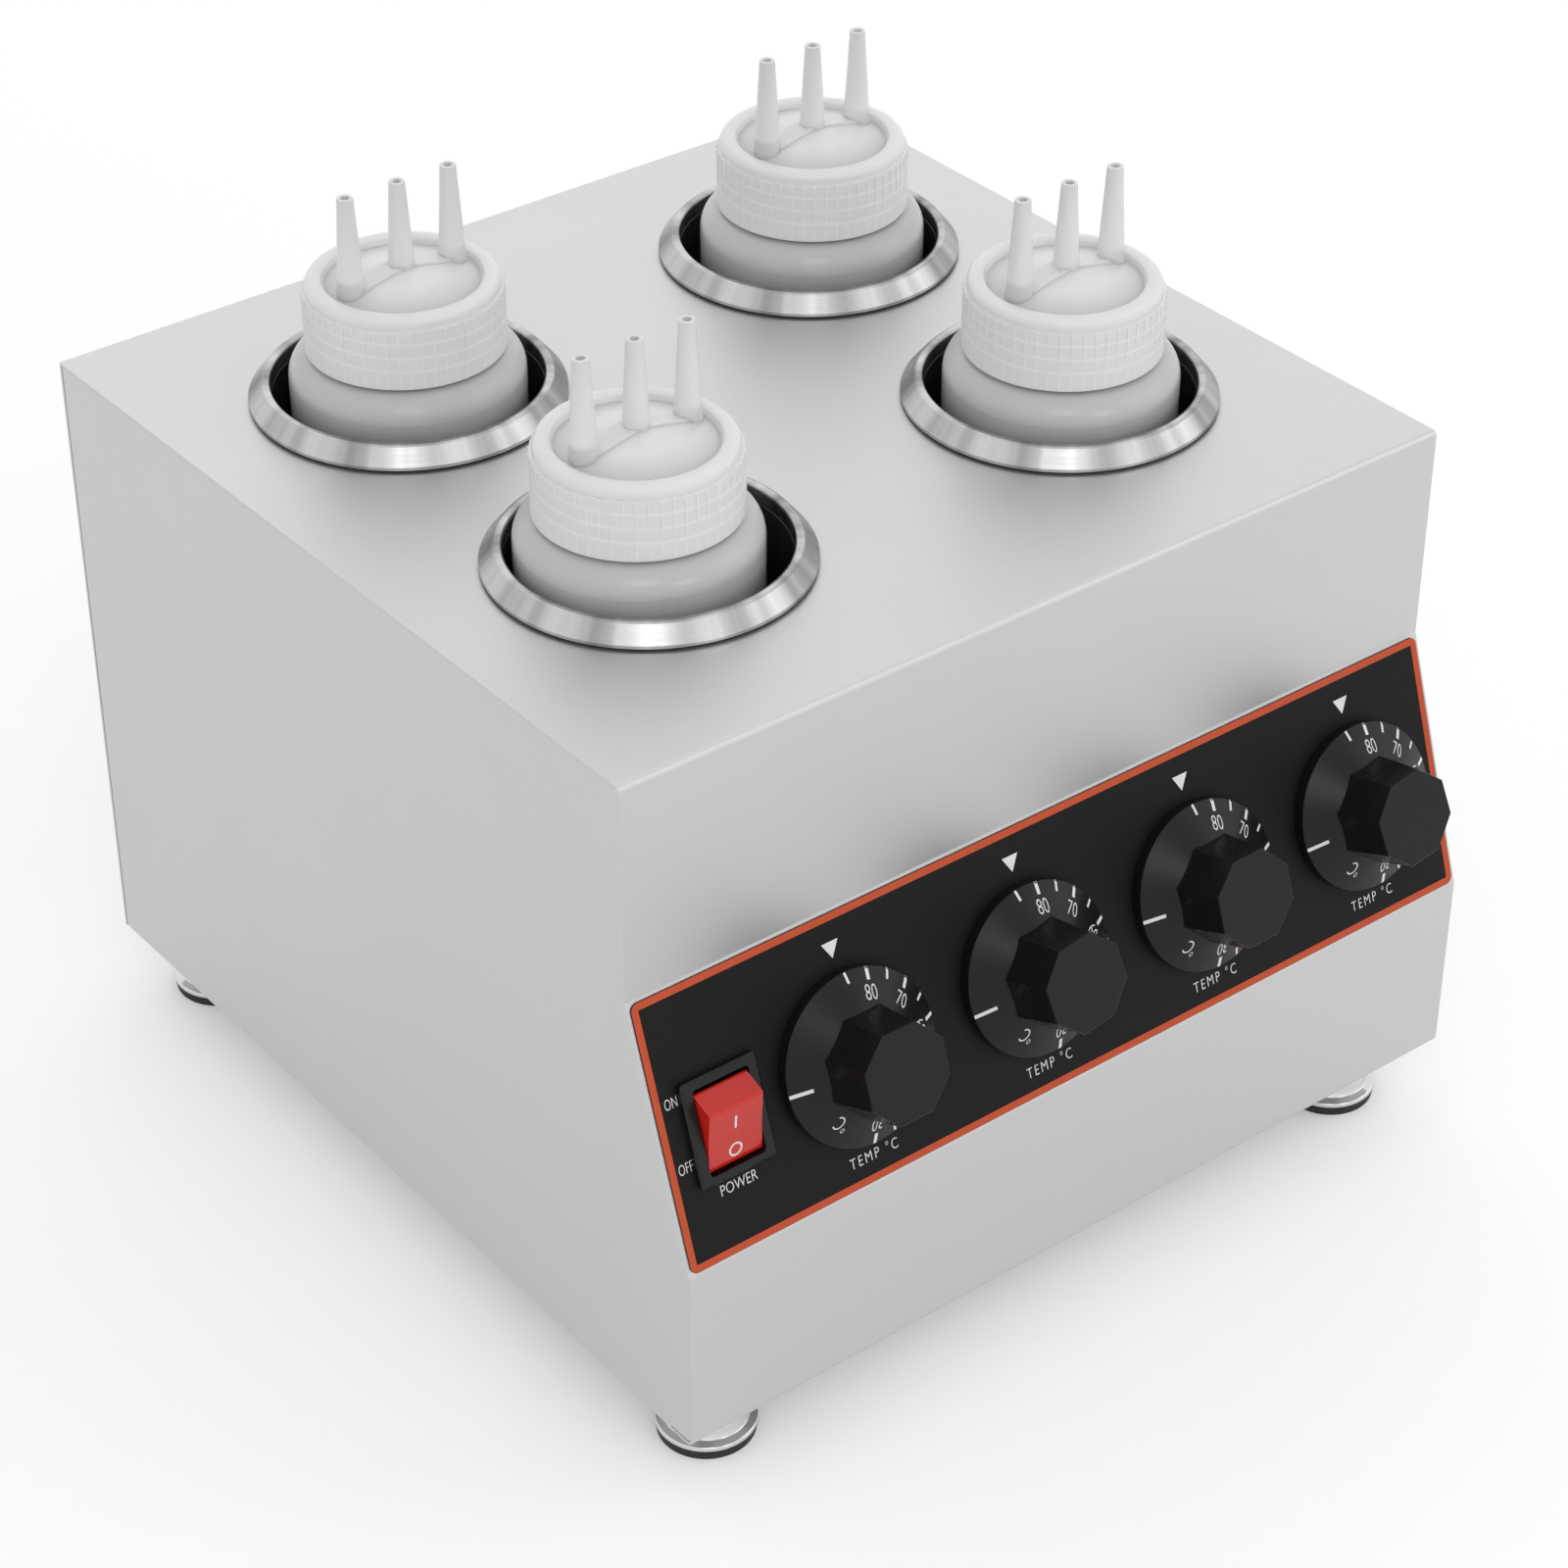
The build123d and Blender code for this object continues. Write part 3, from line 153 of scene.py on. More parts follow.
class PrintSettings(bpy.types.PropertyGroup):
    film: colour("Film", "Ground of the control panel", (0.009, 0.009, 0.009))
    border: colour("Border", "Line round the control panel", (0.55, 0.088, 0.036))
    ink: colour("Ink", "Printed marks and legends", (0.80, 0.80, 0.80))
    border_width: length("Border Width", "Width of the line round the panel", 0.0022)
    border_corner: length("Border Corner", "Radius of the film's corners", 0.0025)
    lift: length("Ink Thickness", "How far the ink stands on the film", 0.00004)
    pointer_width: length("Pointer Width", "Triangle over each dial", 0.0058)
    pointer_rise: length("Pointer Rise", "Triangle's middle above the dial's axis", 0.0322)
    legend_height: length("Legend Height", "Height of a capital", 0.0033)
    legend_squeeze: share("Legend Squeeze", "Width of the legends against plain ones", 0.78)
    legend_spacing: FloatProperty(name="Legend Spacing", description="Between the legend's letters", default=1.3, min=1)
    switch_squeeze: share("Switch Squeeze", "Width of ON and OFF against plain ones", 0.60)
    legend_drop: length("Legend Drop", "Legend's middle below the dial's axis", 0.0312)
    legend: StringProperty(name="Dial Legend", description="Words under each dial", default="TEMP °C")
    on_place: place("On Legend", "Middle of ON from the switch's pivot", (-0.0154, 0.0116))
    off_place: place("Off Legend", "Middle of OFF from the switch's pivot", (-0.0154, -0.0082))
    power_place: place("Power Legend", "Middle of POWER from the switch's pivot", (0.0, -0.0195))


class DialSettings(bpy.types.PropertyGroup):
    mark_radius: length("Mark Radius", "Outer end of the marks", 0.0261)
    mark_length: length("Mark Length", "Length of a mark", 0.0030)
    mark_width: length("Mark Width", "Width of a mark", 0.0008)
    ten_length: length("Ten Length", "Length of a mark with a number", 0.0034)
    ten_width: length("Ten Width", "Width of a mark with a number", 0.0011)
    off_length: length("Off Mark Length", "Length of the mark at off", 0.0064)
    number_radius: length("Number Radius", "Middle of the numbers", 0.0195)
    number_height: length("Number Height", "Height of a number", 0.0042)
    number_squeeze: share("Number Squeeze", "Width of the numbers against plain ones", 0.72)


class StageSettings(bpy.types.PropertyGroup):
    azimuth: FloatProperty(
        name="Azimuth", description="Camera round the object", default=math.radians(-38.1), subtype="ANGLE"
    )
    elevation: FloatProperty(
        name="Elevation", description="Camera above the horizon", default=math.radians(34.8), subtype="ANGLE"
    )
    distance: length("Distance", "Camera from the point it looks at", 1.228)
    aim: FloatVectorProperty(
        name="Aim", description="Point the camera looks at", default=(-0.0092, -0.0221, 0.1168), subtype="TRANSLATION"
    )
    lens: FloatProperty(name="Lens", description="Focal length in millimetres", default=90.65, min=1)
    world_level: FloatProperty(name="World Level", description="Light from all round", default=0.78, min=0)
    floor_glow: FloatProperty(name="Floor Glow", description="What makes the floor read as white", default=0.22, min=0)


SETTINGS = {
    "warmer_steel": SteelSettings,
    "warmer_plastic": PlasticSettings,
    "warmer_print": PrintSettings,
    "warmer_dial": DialSettings,
    "warmer_stage": StageSettings,
}


# ---------------------------------------------------------------- shader groups
def new_group(name, inputs, outputs):
    """An empty shader group with named sockets; inputs are (name, socket type, default)."""
    tree = bpy.data.node_groups.new(name, "ShaderNodeTree")
    for socket, kind, default in inputs:
        made = tree.interface.new_socket(name=socket, in_out="INPUT", socket_type=kind)
        made.default_value = default
    for socket, kind in outputs:
        tree.interface.new_socket(name=socket, in_out="OUTPUT", socket_type=kind)
    return tree, tree.nodes.new("NodeGroupInput"), tree.nodes.new("NodeGroupOutput")


def add_node(tree, kind, **values):
    """A node with some of its properties or inputs set."""
    node = tree.nodes.new(kind)
    for name, value in values.items():
        if hasattr(node, name):
            setattr(node, name, value)
        else:
            node.inputs[name.replace("_", " ").title()].default_value = value
    return node


def grain_group():
    """Noise over stretched coordinates, spread between a low and a high value."""
    found = bpy.data.node_groups.get("Grain")
    if found:
        return found
    tree, given, result = new_group(
        "Grain",
        [
            ("Vector", "NodeSocketVector", (0, 0, 0)),
            ("Stretch", "NodeSocketVector", (1, 1, 1)),
            ("Scale", "NodeSocketFloat", 500.0),
            ("Low", "NodeSocketFloat", 0.0),
            ("High", "NodeSocketFloat", 1.0),
        ],
        [("Value", "NodeSocketFloat"), ("Height", "NodeSocketFloat")],
    )
    stretch = add_node(tree, "ShaderNodeVectorMath", operation="MULTIPLY")
    noise = add_node(tree, "ShaderNodeTexNoise", detail=3.0, roughness=0.55)
    spread = add_node(tree, "ShaderNodeMapRange", from_min=0.3, from_max=0.7)
    tree.links.new(given.outputs["Vector"], stretch.inputs[0])
    tree.links.new(given.outputs["Stretch"], stretch.inputs[1])
    tree.links.new(stretch.outputs["Vector"], noise.inputs["Vector"])
    tree.links.new(given.outputs["Scale"], noise.inputs["Scale"])
    tree.links.new(noise.outputs["Fac"], spread.inputs["Value"])
    tree.links.new(given.outputs["Low"], spread.inputs["To Min"])
    tree.links.new(given.outputs["High"], spread.inputs["To Max"])
    tree.links.new(spread.outputs["Result"], result.inputs["Value"])
    tree.links.new(noise.outputs["Fac"], result.inputs["Height"])
    return tree


def turned_group():
    """Coordinates of a turned piece from its box: distance from the axis, angle and height, and its direction."""
    found = bpy.data.node_groups.get("Turned Coordinates")
    if found:
        return found
    tree, given, result = new_group(
        "Turned Coordinates",
        [("Generated", "NodeSocketVector", (0, 0, 0))],
        [("Vector", "NodeSocketVector"), ("Direction", "NodeSocketVector")],
    )
    centred = add_node(tree, "ShaderNodeVectorMath", operation="SUBTRACT")
    centred.inputs[1].default_value = (0.5, 0.5, 0)
    flat = add_node(tree, "ShaderNodeVectorMath", operation="MULTIPLY")
    flat.inputs[1].default_value = (1, 1, 0)
    radius = add_node(tree, "ShaderNodeVectorMath", operation="LENGTH")
    angle = add_node(tree, "ShaderNodeTexGradient", gradient_type="RADIAL")
    parts = tree.nodes.new("ShaderNodeSeparateXYZ")
    joined = tree.nodes.new("ShaderNodeCombineXYZ")
    tree.links.new(given.outputs["Generated"], centred.inputs[0])
    tree.links.new(centred.outputs["Vector"], flat.inputs[0])
    tree.links.new(flat.outputs["Vector"], radius.inputs[0])
    tree.links.new(flat.outputs["Vector"], angle.inputs["Vector"])
    tree.links.new(centred.outputs["Vector"], parts.inputs[0])
    tree.links.new(radius.outputs["Value"], joined.inputs["X"])
    tree.links.new(angle.outputs["Fac"], joined.inputs["Y"])
    tree.links.new(parts.outputs["Z"], joined.inputs["Z"])
    tree.links.new(joined.outputs["Vector"], result.inputs["Vector"])
    direction = add_node(tree, "ShaderNodeVectorMath", operation="NORMALIZE")
    tree.links.new(flat.outputs["Vector"], direction.inputs[0])
    tree.links.new(direction.outputs["Vector"], result.inputs["Direction"])
    return tree


class Finish:
    """A material under construction, with its Principled shader."""

    def __init__(self, name, colour, roughness, **sockets):
        self.material = bpy.data.materials.new(name)
        self.material.use_nodes = True
        self.tree = self.material.node_tree
        self.shader = self.tree.nodes["Principled BSDF"]
        self.shader.inputs["Base Color"].default_value = (*colour, 1)
        self.shader.inputs["Roughness"].default_value = roughness
        for socket, value in sockets.items():
            self.shader.inputs[socket.replace("_", " ")].default_value = value
        self.colour = colour
        self.coordinates = self.tree.nodes.new("ShaderNodeTexCoord")

    def turned_coordinates(self):
        """The turned coordinates of the piece."""
        polar = add_node(self.tree, "ShaderNodeGroup", node_tree=turned_group())
        self.tree.links.new(self.coordinates.outputs["Generated"], polar.inputs["Generated"])
        return polar

    def grain(self, scale, low, high, stretch=(1, 1, 1), turned=""):
        """A grain over the piece's own coordinates, or over one of its turned coordinates."""
        group = add_node(self.tree, "ShaderNodeGroup", node_tree=grain_group())
        group.inputs["Scale"].default_value = scale
        group.inputs["Stretch"].default_value = stretch
        group.inputs["Low"].default_value = low
        group.inputs["High"].default_value = high
        if turned:
            self.tree.links.new(self.turned_coordinates().outputs[turned], group.inputs["Vector"])
        else:
            self.tree.links.new(self.coordinates.outputs["Object"], group.inputs["Vector"])
        return group

    def vary(self, socket, group):
        """The grain's value drives a socket of the shader."""
        self.tree.links.new(group.outputs["Value"], self.shader.inputs[socket])
        return self

    def math(self, operation, first, second):
        """Output of a Math node on two sockets or numbers."""
        node = add_node(self.tree, "ShaderNodeMath", operation=operation)
        for socket, value in zip(node.inputs, (first, second)):
            if isinstance(value, bpy.types.NodeSocket):
                self.tree.links.new(value, socket)
            else:
                socket.default_value = value
        return node.outputs[0]

    def band(self, value, rise, fall, soft):
        """1 between two values of a socket and 0 beyond them, with soft edges."""
        up = add_node(self.tree, "ShaderNodeMapRange", from_min=rise - soft, from_max=rise + soft)
        down = add_node(self.tree, "ShaderNodeMapRange", from_min=fall + soft, from_max=fall - soft)
        for node in (up, down):
            self.tree.links.new(value, node.inputs["Value"])
        return self.math("MULTIPLY", up.outputs["Result"], down.outputs["Result"])

    def tint(self, group, other):
        """The grain's value mixes the colour with another one."""
        mix = add_node(self.tree, "ShaderNodeMix", data_type="RGBA")
        factor, first, second = [socket for socket in mix.inputs if socket.enabled]
        first.default_value = (*self.colour, 1)
        second.default_value = (*other, 1)
        value = group if isinstance(group, bpy.types.NodeSocket) else group.outputs["Value"]
        self.tree.links.new(value, factor)
        output = next(socket for socket in mix.outputs if socket.enabled)
        self.tree.links.new(output, self.shader.inputs["Base Color"])
        return self

    def bump(self, group, strength, distance):
        """The grain's height raises the surface."""
        node = add_node(self.tree, "ShaderNodeBump", strength=strength, distance=distance)
        self.tree.links.new(group.outputs["Height"], node.inputs["Height"])
        self.tree.links.new(node.outputs["Normal"], self.shader.inputs["Normal"])
        return self


def shade(colour, factor):
    """A colour made lighter or darker."""
    return tuple(min(1, channel * factor) for channel in colour)


def give(finish, *slots):
    """Puts a finish on the CAD nodes of some material slots."""
    for slot in slots:
        for name in NODES_OF_SLOT.get(slot, []):
            node = frame["nodes"][name]
            node.data.materials.clear()
            node.data.materials.append(finish.material)


# ---------------------------------------------------------------- meshes
def add_piece(name, mesh, finish, body):
    """Links a mesh as a piece that moves with a body."""
    piece = bpy.data.objects.new(name, mesh)
    bpy.context.scene.collection.objects.link(piece)
    mesh.materials.clear()
    mesh.materials.append(finish.material)
    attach(piece, body)
    return piece



def text_shape(text, height, squeeze=1.0, spacing=1.0):
    """Filled letters in the XY plane, centred, with the given height of capitals."""
    curve = bpy.data.curves.new("letters", "FONT")
    curve.body = text
    curve.align_x = "CENTER"
    curve.resolution_u = 4
    curve.offset = LETTER_THINNING
    curve.space_character = spacing
    holder = bpy.data.objects.new("letters", curve)
    mesh = bpy.data.meshes.new_from_object(holder)
    bpy.data.objects.remove(holder)
    bpy.data.curves.remove(curve)
    shape = bmesh.new()
    shape.from_mesh(mesh)
    bpy.data.meshes.remove(mesh)
    size = height / CAPITAL
    bmesh.ops.scale(shape, vec=(size * squeeze, size, 1), verts=shape.verts)
    bmesh.ops.translate(shape, vec=(0, -height / 2, 0), verts=shape.verts)
    return shape


def polygon_shape(*corners):
    """One flat face in the XY plane."""
    shape = bmesh.new()
    shape.faces.new([shape.verts.new((x, y, 0)) for x, y in corners])
    return shape


def bar_shape(width, height):
    """A flat bar in the XY plane, centred."""
    x, y = width / 2, height / 2
    return polygon_shape((-x, -y), (x, -y), (x, y), (-x, y))


def turned_shape(outline, closed, sides=72):
    """Solid turned about Z from (radius, height) points. A closed outline joins its ends and lies off the axis."""
    shape = bmesh.new()
    rows = []
    for radius, height in outline:
        angles = [2 * math.pi * i / sides for i in range(sides if radius else 1)]
        rows.append([shape.verts.new((radius * math.cos(a), radius * math.sin(a), height)) for a in angles])
    for upper, lower in zip(rows, rows[1:] + rows[:1] if closed else rows[1:]):
        for i in range(sides):
            j = (i + 1) % sides
            corners = [upper[i % len(upper)], upper[j % len(upper)], lower[j % len(lower)], lower[i % len(lower)]]
            shape.faces.new(list(dict.fromkeys(corners)))
    bmesh.ops.recalc_face_normals(shape, faces=shape.faces)
    return shape


def ring_shape(outer, inner, sides=40):
    """A flat ring in the XY plane."""
    shape = bmesh.new()
    loops = []
    for radius in (outer, inner):
        angles = [2 * math.pi * i / sides for i in range(sides)]
        loops.append([shape.verts.new((radius * math.cos(a), radius * math.sin(a), 0)) for a in angles])
    for i in range(sides):
        j = (i + 1) % sides
        shape.faces.new((loops[0][i], loops[0][j], loops[1][j], loops[1][i]))
    return shape


def outline_shape(width, height, corner, line):
    """A flat line round a rounded rectangle, inside its edge."""
    shape = bmesh.new()
    loops = []
    for inset in (0, line):
        radius = max(corner - inset, 0.0001)
        loop = []
        for i in range(4):
            x = (width / 2 - inset - radius) * (1, -1, -1, 1)[i]
            y = (height / 2 - inset - radius) * (1, 1, -1, -1)[i]
            for step in range(7):
                angle = math.radians(90 * i + 15 * step)
                loop.append(shape.verts.new((x + radius * math.cos(angle), y + radius * math.sin(angle), 0)))
        loops.append(loop)
    for i in range(len(loops[0])):
        shape.faces.new((loops[0][i - 1], loops[0][i], loops[1][i], loops[1][i - 1]))
    return shape


def merged(shapes):
    """One shape from several (shape, matrix) pairs."""
    whole = bmesh.new()
    for shape, place in shapes:
        bmesh.ops.transform(shape, matrix=place, verts=shape.verts)
        part = bpy.data.meshes.new("part")
        shape.to_mesh(part)
        shape.free()
        whole.from_mesh(part)
        bpy.data.meshes.remove(part)
    return whole


def split_long_edges(shape, longest):
    """Divides edges until none is longer than the given length, so that a flat shape can follow a curve."""
    bmesh.ops.triangulate(shape, faces=shape.faces)
    for _ in range(SPLIT_ROUNDS):
        edges = [edge for edge in shape.edges if edge.calc_length() > longest]
        if not edges:
            break
        bmesh.ops.subdivide_edges(shape, edges=edges, cuts=1)
        bmesh.ops.triangulate(shape, faces=shape.faces)


def laid_on(shape, place, nodes, lift, longest=0.0015):
    """A shape in the XY plane of a place, dropped along its Z onto CAD nodes and given a thickness."""
    split_long_edges(shape, longest)
    trees = []
    for node in nodes:
        mesh = frame["nodes"][node].data
        trees.append(BVHTree.FromPolygons([v.co for v in mesh.vertices], [p.vertices for p in mesh.polygons]))
    drop = -(place.to_3x3() @ Vector((0, 0, 1)))
    feet = {}
    for vertex in shape.verts:
        start = place @ vertex.co - drop * PRINT_REACH
        hits = [tree.ray_cast(start, drop, 2 * PRINT_REACH)[0] for tree in trees]
        hits = [hit for hit in hits if hit]
        if not hits:
            raise ValueError("a printed mark lies beyond what carries it")
        feet[vertex] = min(hits, key=lambda hit: (hit - start).length)
    for vertex, foot in feet.items():
        vertex.co = foot - drop * lift
    bottom = bmesh.ops.duplicate(shape, geom=shape.faces[:] + shape.edges[:] + shape.verts[:])
    pairs = bottom["vert_map"]
    rims = [edge for edge in shape.edges if edge.is_boundary and edge.verts[0] in feet]
    for top in feet:
        pairs[top].co = top.co + drop * 2 * lift
    bmesh.ops.reverse_faces(shape, faces=[f for f in bottom["geom"] if isinstance(f, bmesh.types.BMFace)])
    for edge in rims:
        first, second = edge.verts
        shape.faces.new((first, second, pairs[second], pairs[first]))
    bmesh.ops.recalc_face_normals(shape, faces=shape.faces)
    mesh = bpy.data.meshes.new("print")
    shape.to_mesh(mesh)
    shape.free()
    return mesh


def dial_place(well):
    """Frame of a dial at rest: Z out of the panel, Y up its scale's middle, turned with the dial."""
    joint = JOINTS[f"dial_turn_{well}"]
    out = Vector(joint["axis"]).normalized()
    across = Vector((1, 0, 0))
    upward = out.cross(across)
    turn = Matrix((across, upward, out)).transposed().to_4x4()
    return Matrix.Translation(Vector(joint["pos_m"])) @ turn


# ---------------------------------------------------------------- operators
class WarmerOperator:
    """What the operators share."""

    bl_options = {"REGISTER"}


class WARMER_OT_casing(WarmerOperator, bpy.types.Operator):
    """Satin stainless sheet for the casing, its base and its screws"""

    bl_idname = "warmer.casing"
    bl_label = "Casing"

    def execute(self, context):
        steel = context.scene.warmer_steel
        sheet = Finish("satin_steel", steel.casing, steel.casing_roughness, Metallic=1.0)
        clouds = sheet.grain(9, steel.casing_roughness - 0.03, steel.casing_roughness + 0.03)
        fine = sheet.grain(2600, 0, 0.35, (1, 0.15, 1))
        sheet.vary("Roughness", clouds).tint(fine, shade(steel.casing, 0.93)).bump(fine, 0.06, 0.00002)
        give(sheet, "stainless_casing")
        base = Finish("mill_steel", shade(steel.casing, 0.9), 0.5, Metallic=1.0)
        base.tint(base.grain(60, 0, 0.5), shade(steel.casing, 0.7))
        give(base, "stainless_base")
        return {"FINISHED"}


class WARMER_OT_wells(WarmerOperator, bpy.types.Operator):
    """Brushed trim rings, dark cups, gaskets and band heaters"""

    bl_idname = "warmer.wells"
    bl_label = "Wells"

    def execute(self, context):
        steel = context.scene.warmer_steel
        plastic = context.scene.warmer_plastic
        ring = Finish("turned_ring", steel.ring, 0.28, Metallic=1.0, Anisotropic=0.8)
        lines = ring.grain(150, 0.20, 0.36, (1, 0.02, 1), turned="Vector")
        # Painted reflection: light and dark bands by angle round the ring, darkening it towards a third of its colour,
        # stand in for the studio mirrored in the steel. The turning lines are real.
        painted_reflection_bands = ring.grain(3.0, 0, 1, turned="Direction")
        ring.vary("Roughness", lines).tint(painted_reflection_bands, shade(steel.ring, 0.30)).bump(lines, 0.15, 0.00003)
        tangent = add_node(ring.tree, "ShaderNodeTangent", direction_type="RADIAL", axis="Z")
        ring.tree.links.new(tangent.outputs["Tangent"], ring.shader.inputs["Tangent"])
        give(ring, "ring_steel")
        cup = Finish("dark_cup", steel.cup, 0.35, Metallic=0.6)
        cup.vary("Roughness", cup.grain(300, 0.28, 0.45, (1, 1, 0.05)))
        give(cup, "well_cup_dark")
        rubber = Finish("black_rubber", plastic.rubber, 0.7)
        grain = rubber.grain(900, 0.6, 0.8)
        rubber.vary("Roughness", grain).bump(grain, 0.1, 0.0001)
        give(rubber, "gasket_rubber", "pad_rubber")
        jacket = Finish("heater_jacket", (0.5, 0.47, 0.43), 0.45, Metallic=1.0)
        jacket.tint(jacket.grain(80, 0, 1), (0.33, 0.27, 0.2))
        give(jacket, "heater_steel")
        return {"FINISHED"}


class WARMER_OT_bottles(WarmerOperator, bpy.types.Operator):
    """Milky squeeze bottles and their caps"""

    bl_idname = "warmer.bottles"
    bl_label = "Bottles"

    def execute(self, context):
        plastic = context.scene.warmer_plastic
        milky = {
            "IOR": 1.45,
            "Subsurface_Weight": 0.35,
            "Subsurface_Radius": (0.01, 0.01, 0.01),
            "Subsurface_Scale": 0.4,
        }
        # The bottle's mid grey is partly painted shade of the dark well.
        body = Finish("bottle_plastic", plastic.bottle, 0.16, Transmission_Weight=0.06, **milky)
        body.vary("Roughness", body.grain(40, 0.14, 0.19))
        give(body, "bottle_plastic")
        cap = Finish("cap_plastic", plastic.cap, CAP_ROUGHNESS, Transmission_Weight=CAP_CLEARNESS, **milky)
        cap.vary("Roughness", cap.grain(12, 0.275, 0.285))
        low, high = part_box(f"bottle_cap_{WELLS[0]}")
        # Painted light: white lines over the ribs and where the thread shows through the translucent skirt.
        cap.tint(thread_lines(cap, plastic, high.z - low.z), plastic.thread)
        give(cap, "cap_plastic")
        dome = Finish("cap_dome", plastic.cap, CAP_ROUGHNESS, Transmission_Weight=CAP_CLEARNESS, **milky)
        # Painted shade: the dome's low edge, inside the cap's rim, is darkened.
        dome.tint(dome_edge(dome), shade(plastic.cap, 0.7))
        for well in WELLS:
            low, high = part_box(f"bottle_cap_{well}")
            middle = (low + high) / 2
            mesh = dome_mesh(plastic, (middle.x, middle.y, high.z - plastic.nozzle_rise))
            add_piece(f"cap_dome_{well}", mesh, dome, f"screw_cap_{well}")
        return {"FINISHED"}


def dome_height(plastic, radius):
    """Height of a cap's domed floor over the rim, at a distance from its middle."""
    fall = (plastic.dome_rise + plastic.dome_sink) * (radius / plastic.dome_radius) ** DOME_POWER
    return plastic.dome_rise - fall


def web_shape(plastic, under):
    """Raised web that follows the dome from one outer nozzle to the other."""
    shape = bmesh.new()
    y = plastic.web_width / 2
    sections = []
    for step in range(-DOME_STEPS, DOME_STEPS + 1):
        x = plastic.nozzle_pitch * step / DOME_STEPS
        top = dome_height(plastic, math.hypot(x, y)) + plastic.web_rise
        corners = ((-y, top), (y, top), (y, under), (-y, under))
        sections.append([shape.verts.new((x, across, up)) for across, up in corners])
    for first, second in zip(sections, sections[1:]):
        for i in range(4):
            shape.faces.new((first[i - 1], first[i], second[i], second[i - 1]))
    shape.faces.new(sections[0])
    shape.faces.new(sections[-1])
    bmesh.ops.recalc_face_normals(shape, faces=shape.faces)
    return shape


def dome_mesh(plastic, place):
    """Domed floor of a cap, with the web on it and covers that flare the three nozzles' roots."""
    under = -plastic.dome_sink - NOZZLE_SHORT
    tip = plastic.nozzle_rise - NOZZLE_SHORT
    radii = [plastic.dome_radius * i / DOME_STEPS for i in range(DOME_STEPS + 1)]
    floor = [(radius, dome_height(plastic, radius)) for radius in radii]
    shapes = [(turned_shape(floor + [(plastic.dome_radius, under), (0, under)], False), Matrix())]
    cover = [(plastic.nozzle_root, under), (plastic.nozzle_tip, tip), (NOZZLE_CORE, tip), (NOZZLE_CORE, under)]
    for side in (-1, 0, 1):
        aside = Matrix.Translation((side * plastic.nozzle_pitch, 0, 0))
        shapes.append((turned_shape(cover, True, NOZZLE_SIDES), aside))
    shapes.append((web_shape(plastic, under), Matrix()))
    whole = merged(shapes)
    bmesh.ops.translate(whole, vec=place, verts=whole.verts)
    mesh = bpy.data.meshes.new("cap_dome")
    whole.to_mesh(mesh)
    whole.free()
    for face in mesh.polygons:
        face.use_smooth = True
    mesh.set_sharp_from_angle(angle=math.radians(SHARP_EDGE))
    return mesh


def dome_edge(dome):
    """Mask of painted shade on the dome's low edge, where the dark well shows through."""
    parts = dome.tree.nodes.new("ShaderNodeSeparateXYZ")
    dome.tree.links.new(dome.turned_coordinates().outputs["Vector"], parts.inputs[0])
    edge = dome.band(parts.outputs["X"], 0.38, 2, 0.12)
    return dome.math("MULTIPLY", edge, dome.band(parts.outputs["Z"], -1, 0.2, 0.03))


def thread_lines(cap, plastic, height):
    """Mask of painted highlights on a cap's ribs, and of painted lighter lines where the thread shows through its
    skirt.
    """
    polar = cap.turned_coordinates()
    parts = cap.tree.nodes.new("ShaderNodeSeparateXYZ")
    cap.tree.links.new(polar.outputs["Vector"], parts.inputs[0])
    rise = cap.math("MULTIPLY", parts.outputs["Z"], height / plastic.thread_pitch)
    along = cap.math("FRACT", cap.math("ADD", rise, parts.outputs["Y"]), 0)
    line = cap.band(along, 0.40, 0.62, 0.05)
    low, high = plastic.thread_low / height, plastic.thread_high / height
    painted_thread_light = cap.math("MULTIPLY", line, cap.band(parts.outputs["Z"], low, high, 0.004))
    turns = cap.math("ADD", cap.math("MULTIPLY", parts.outputs["Y"], plastic.cap_ribs), 0.5)
    rib_highlight = cap.band(cap.math("FRACT", turns, 0), 0.45, 0.55, 0.04)
    ribs = cap.math("MULTIPLY", rib_highlight, cap.band(parts.outputs["Z"], 0.01, plastic.rib_high / height, 0.004))
    return cap.math("MAXIMUM", painted_thread_light, ribs)


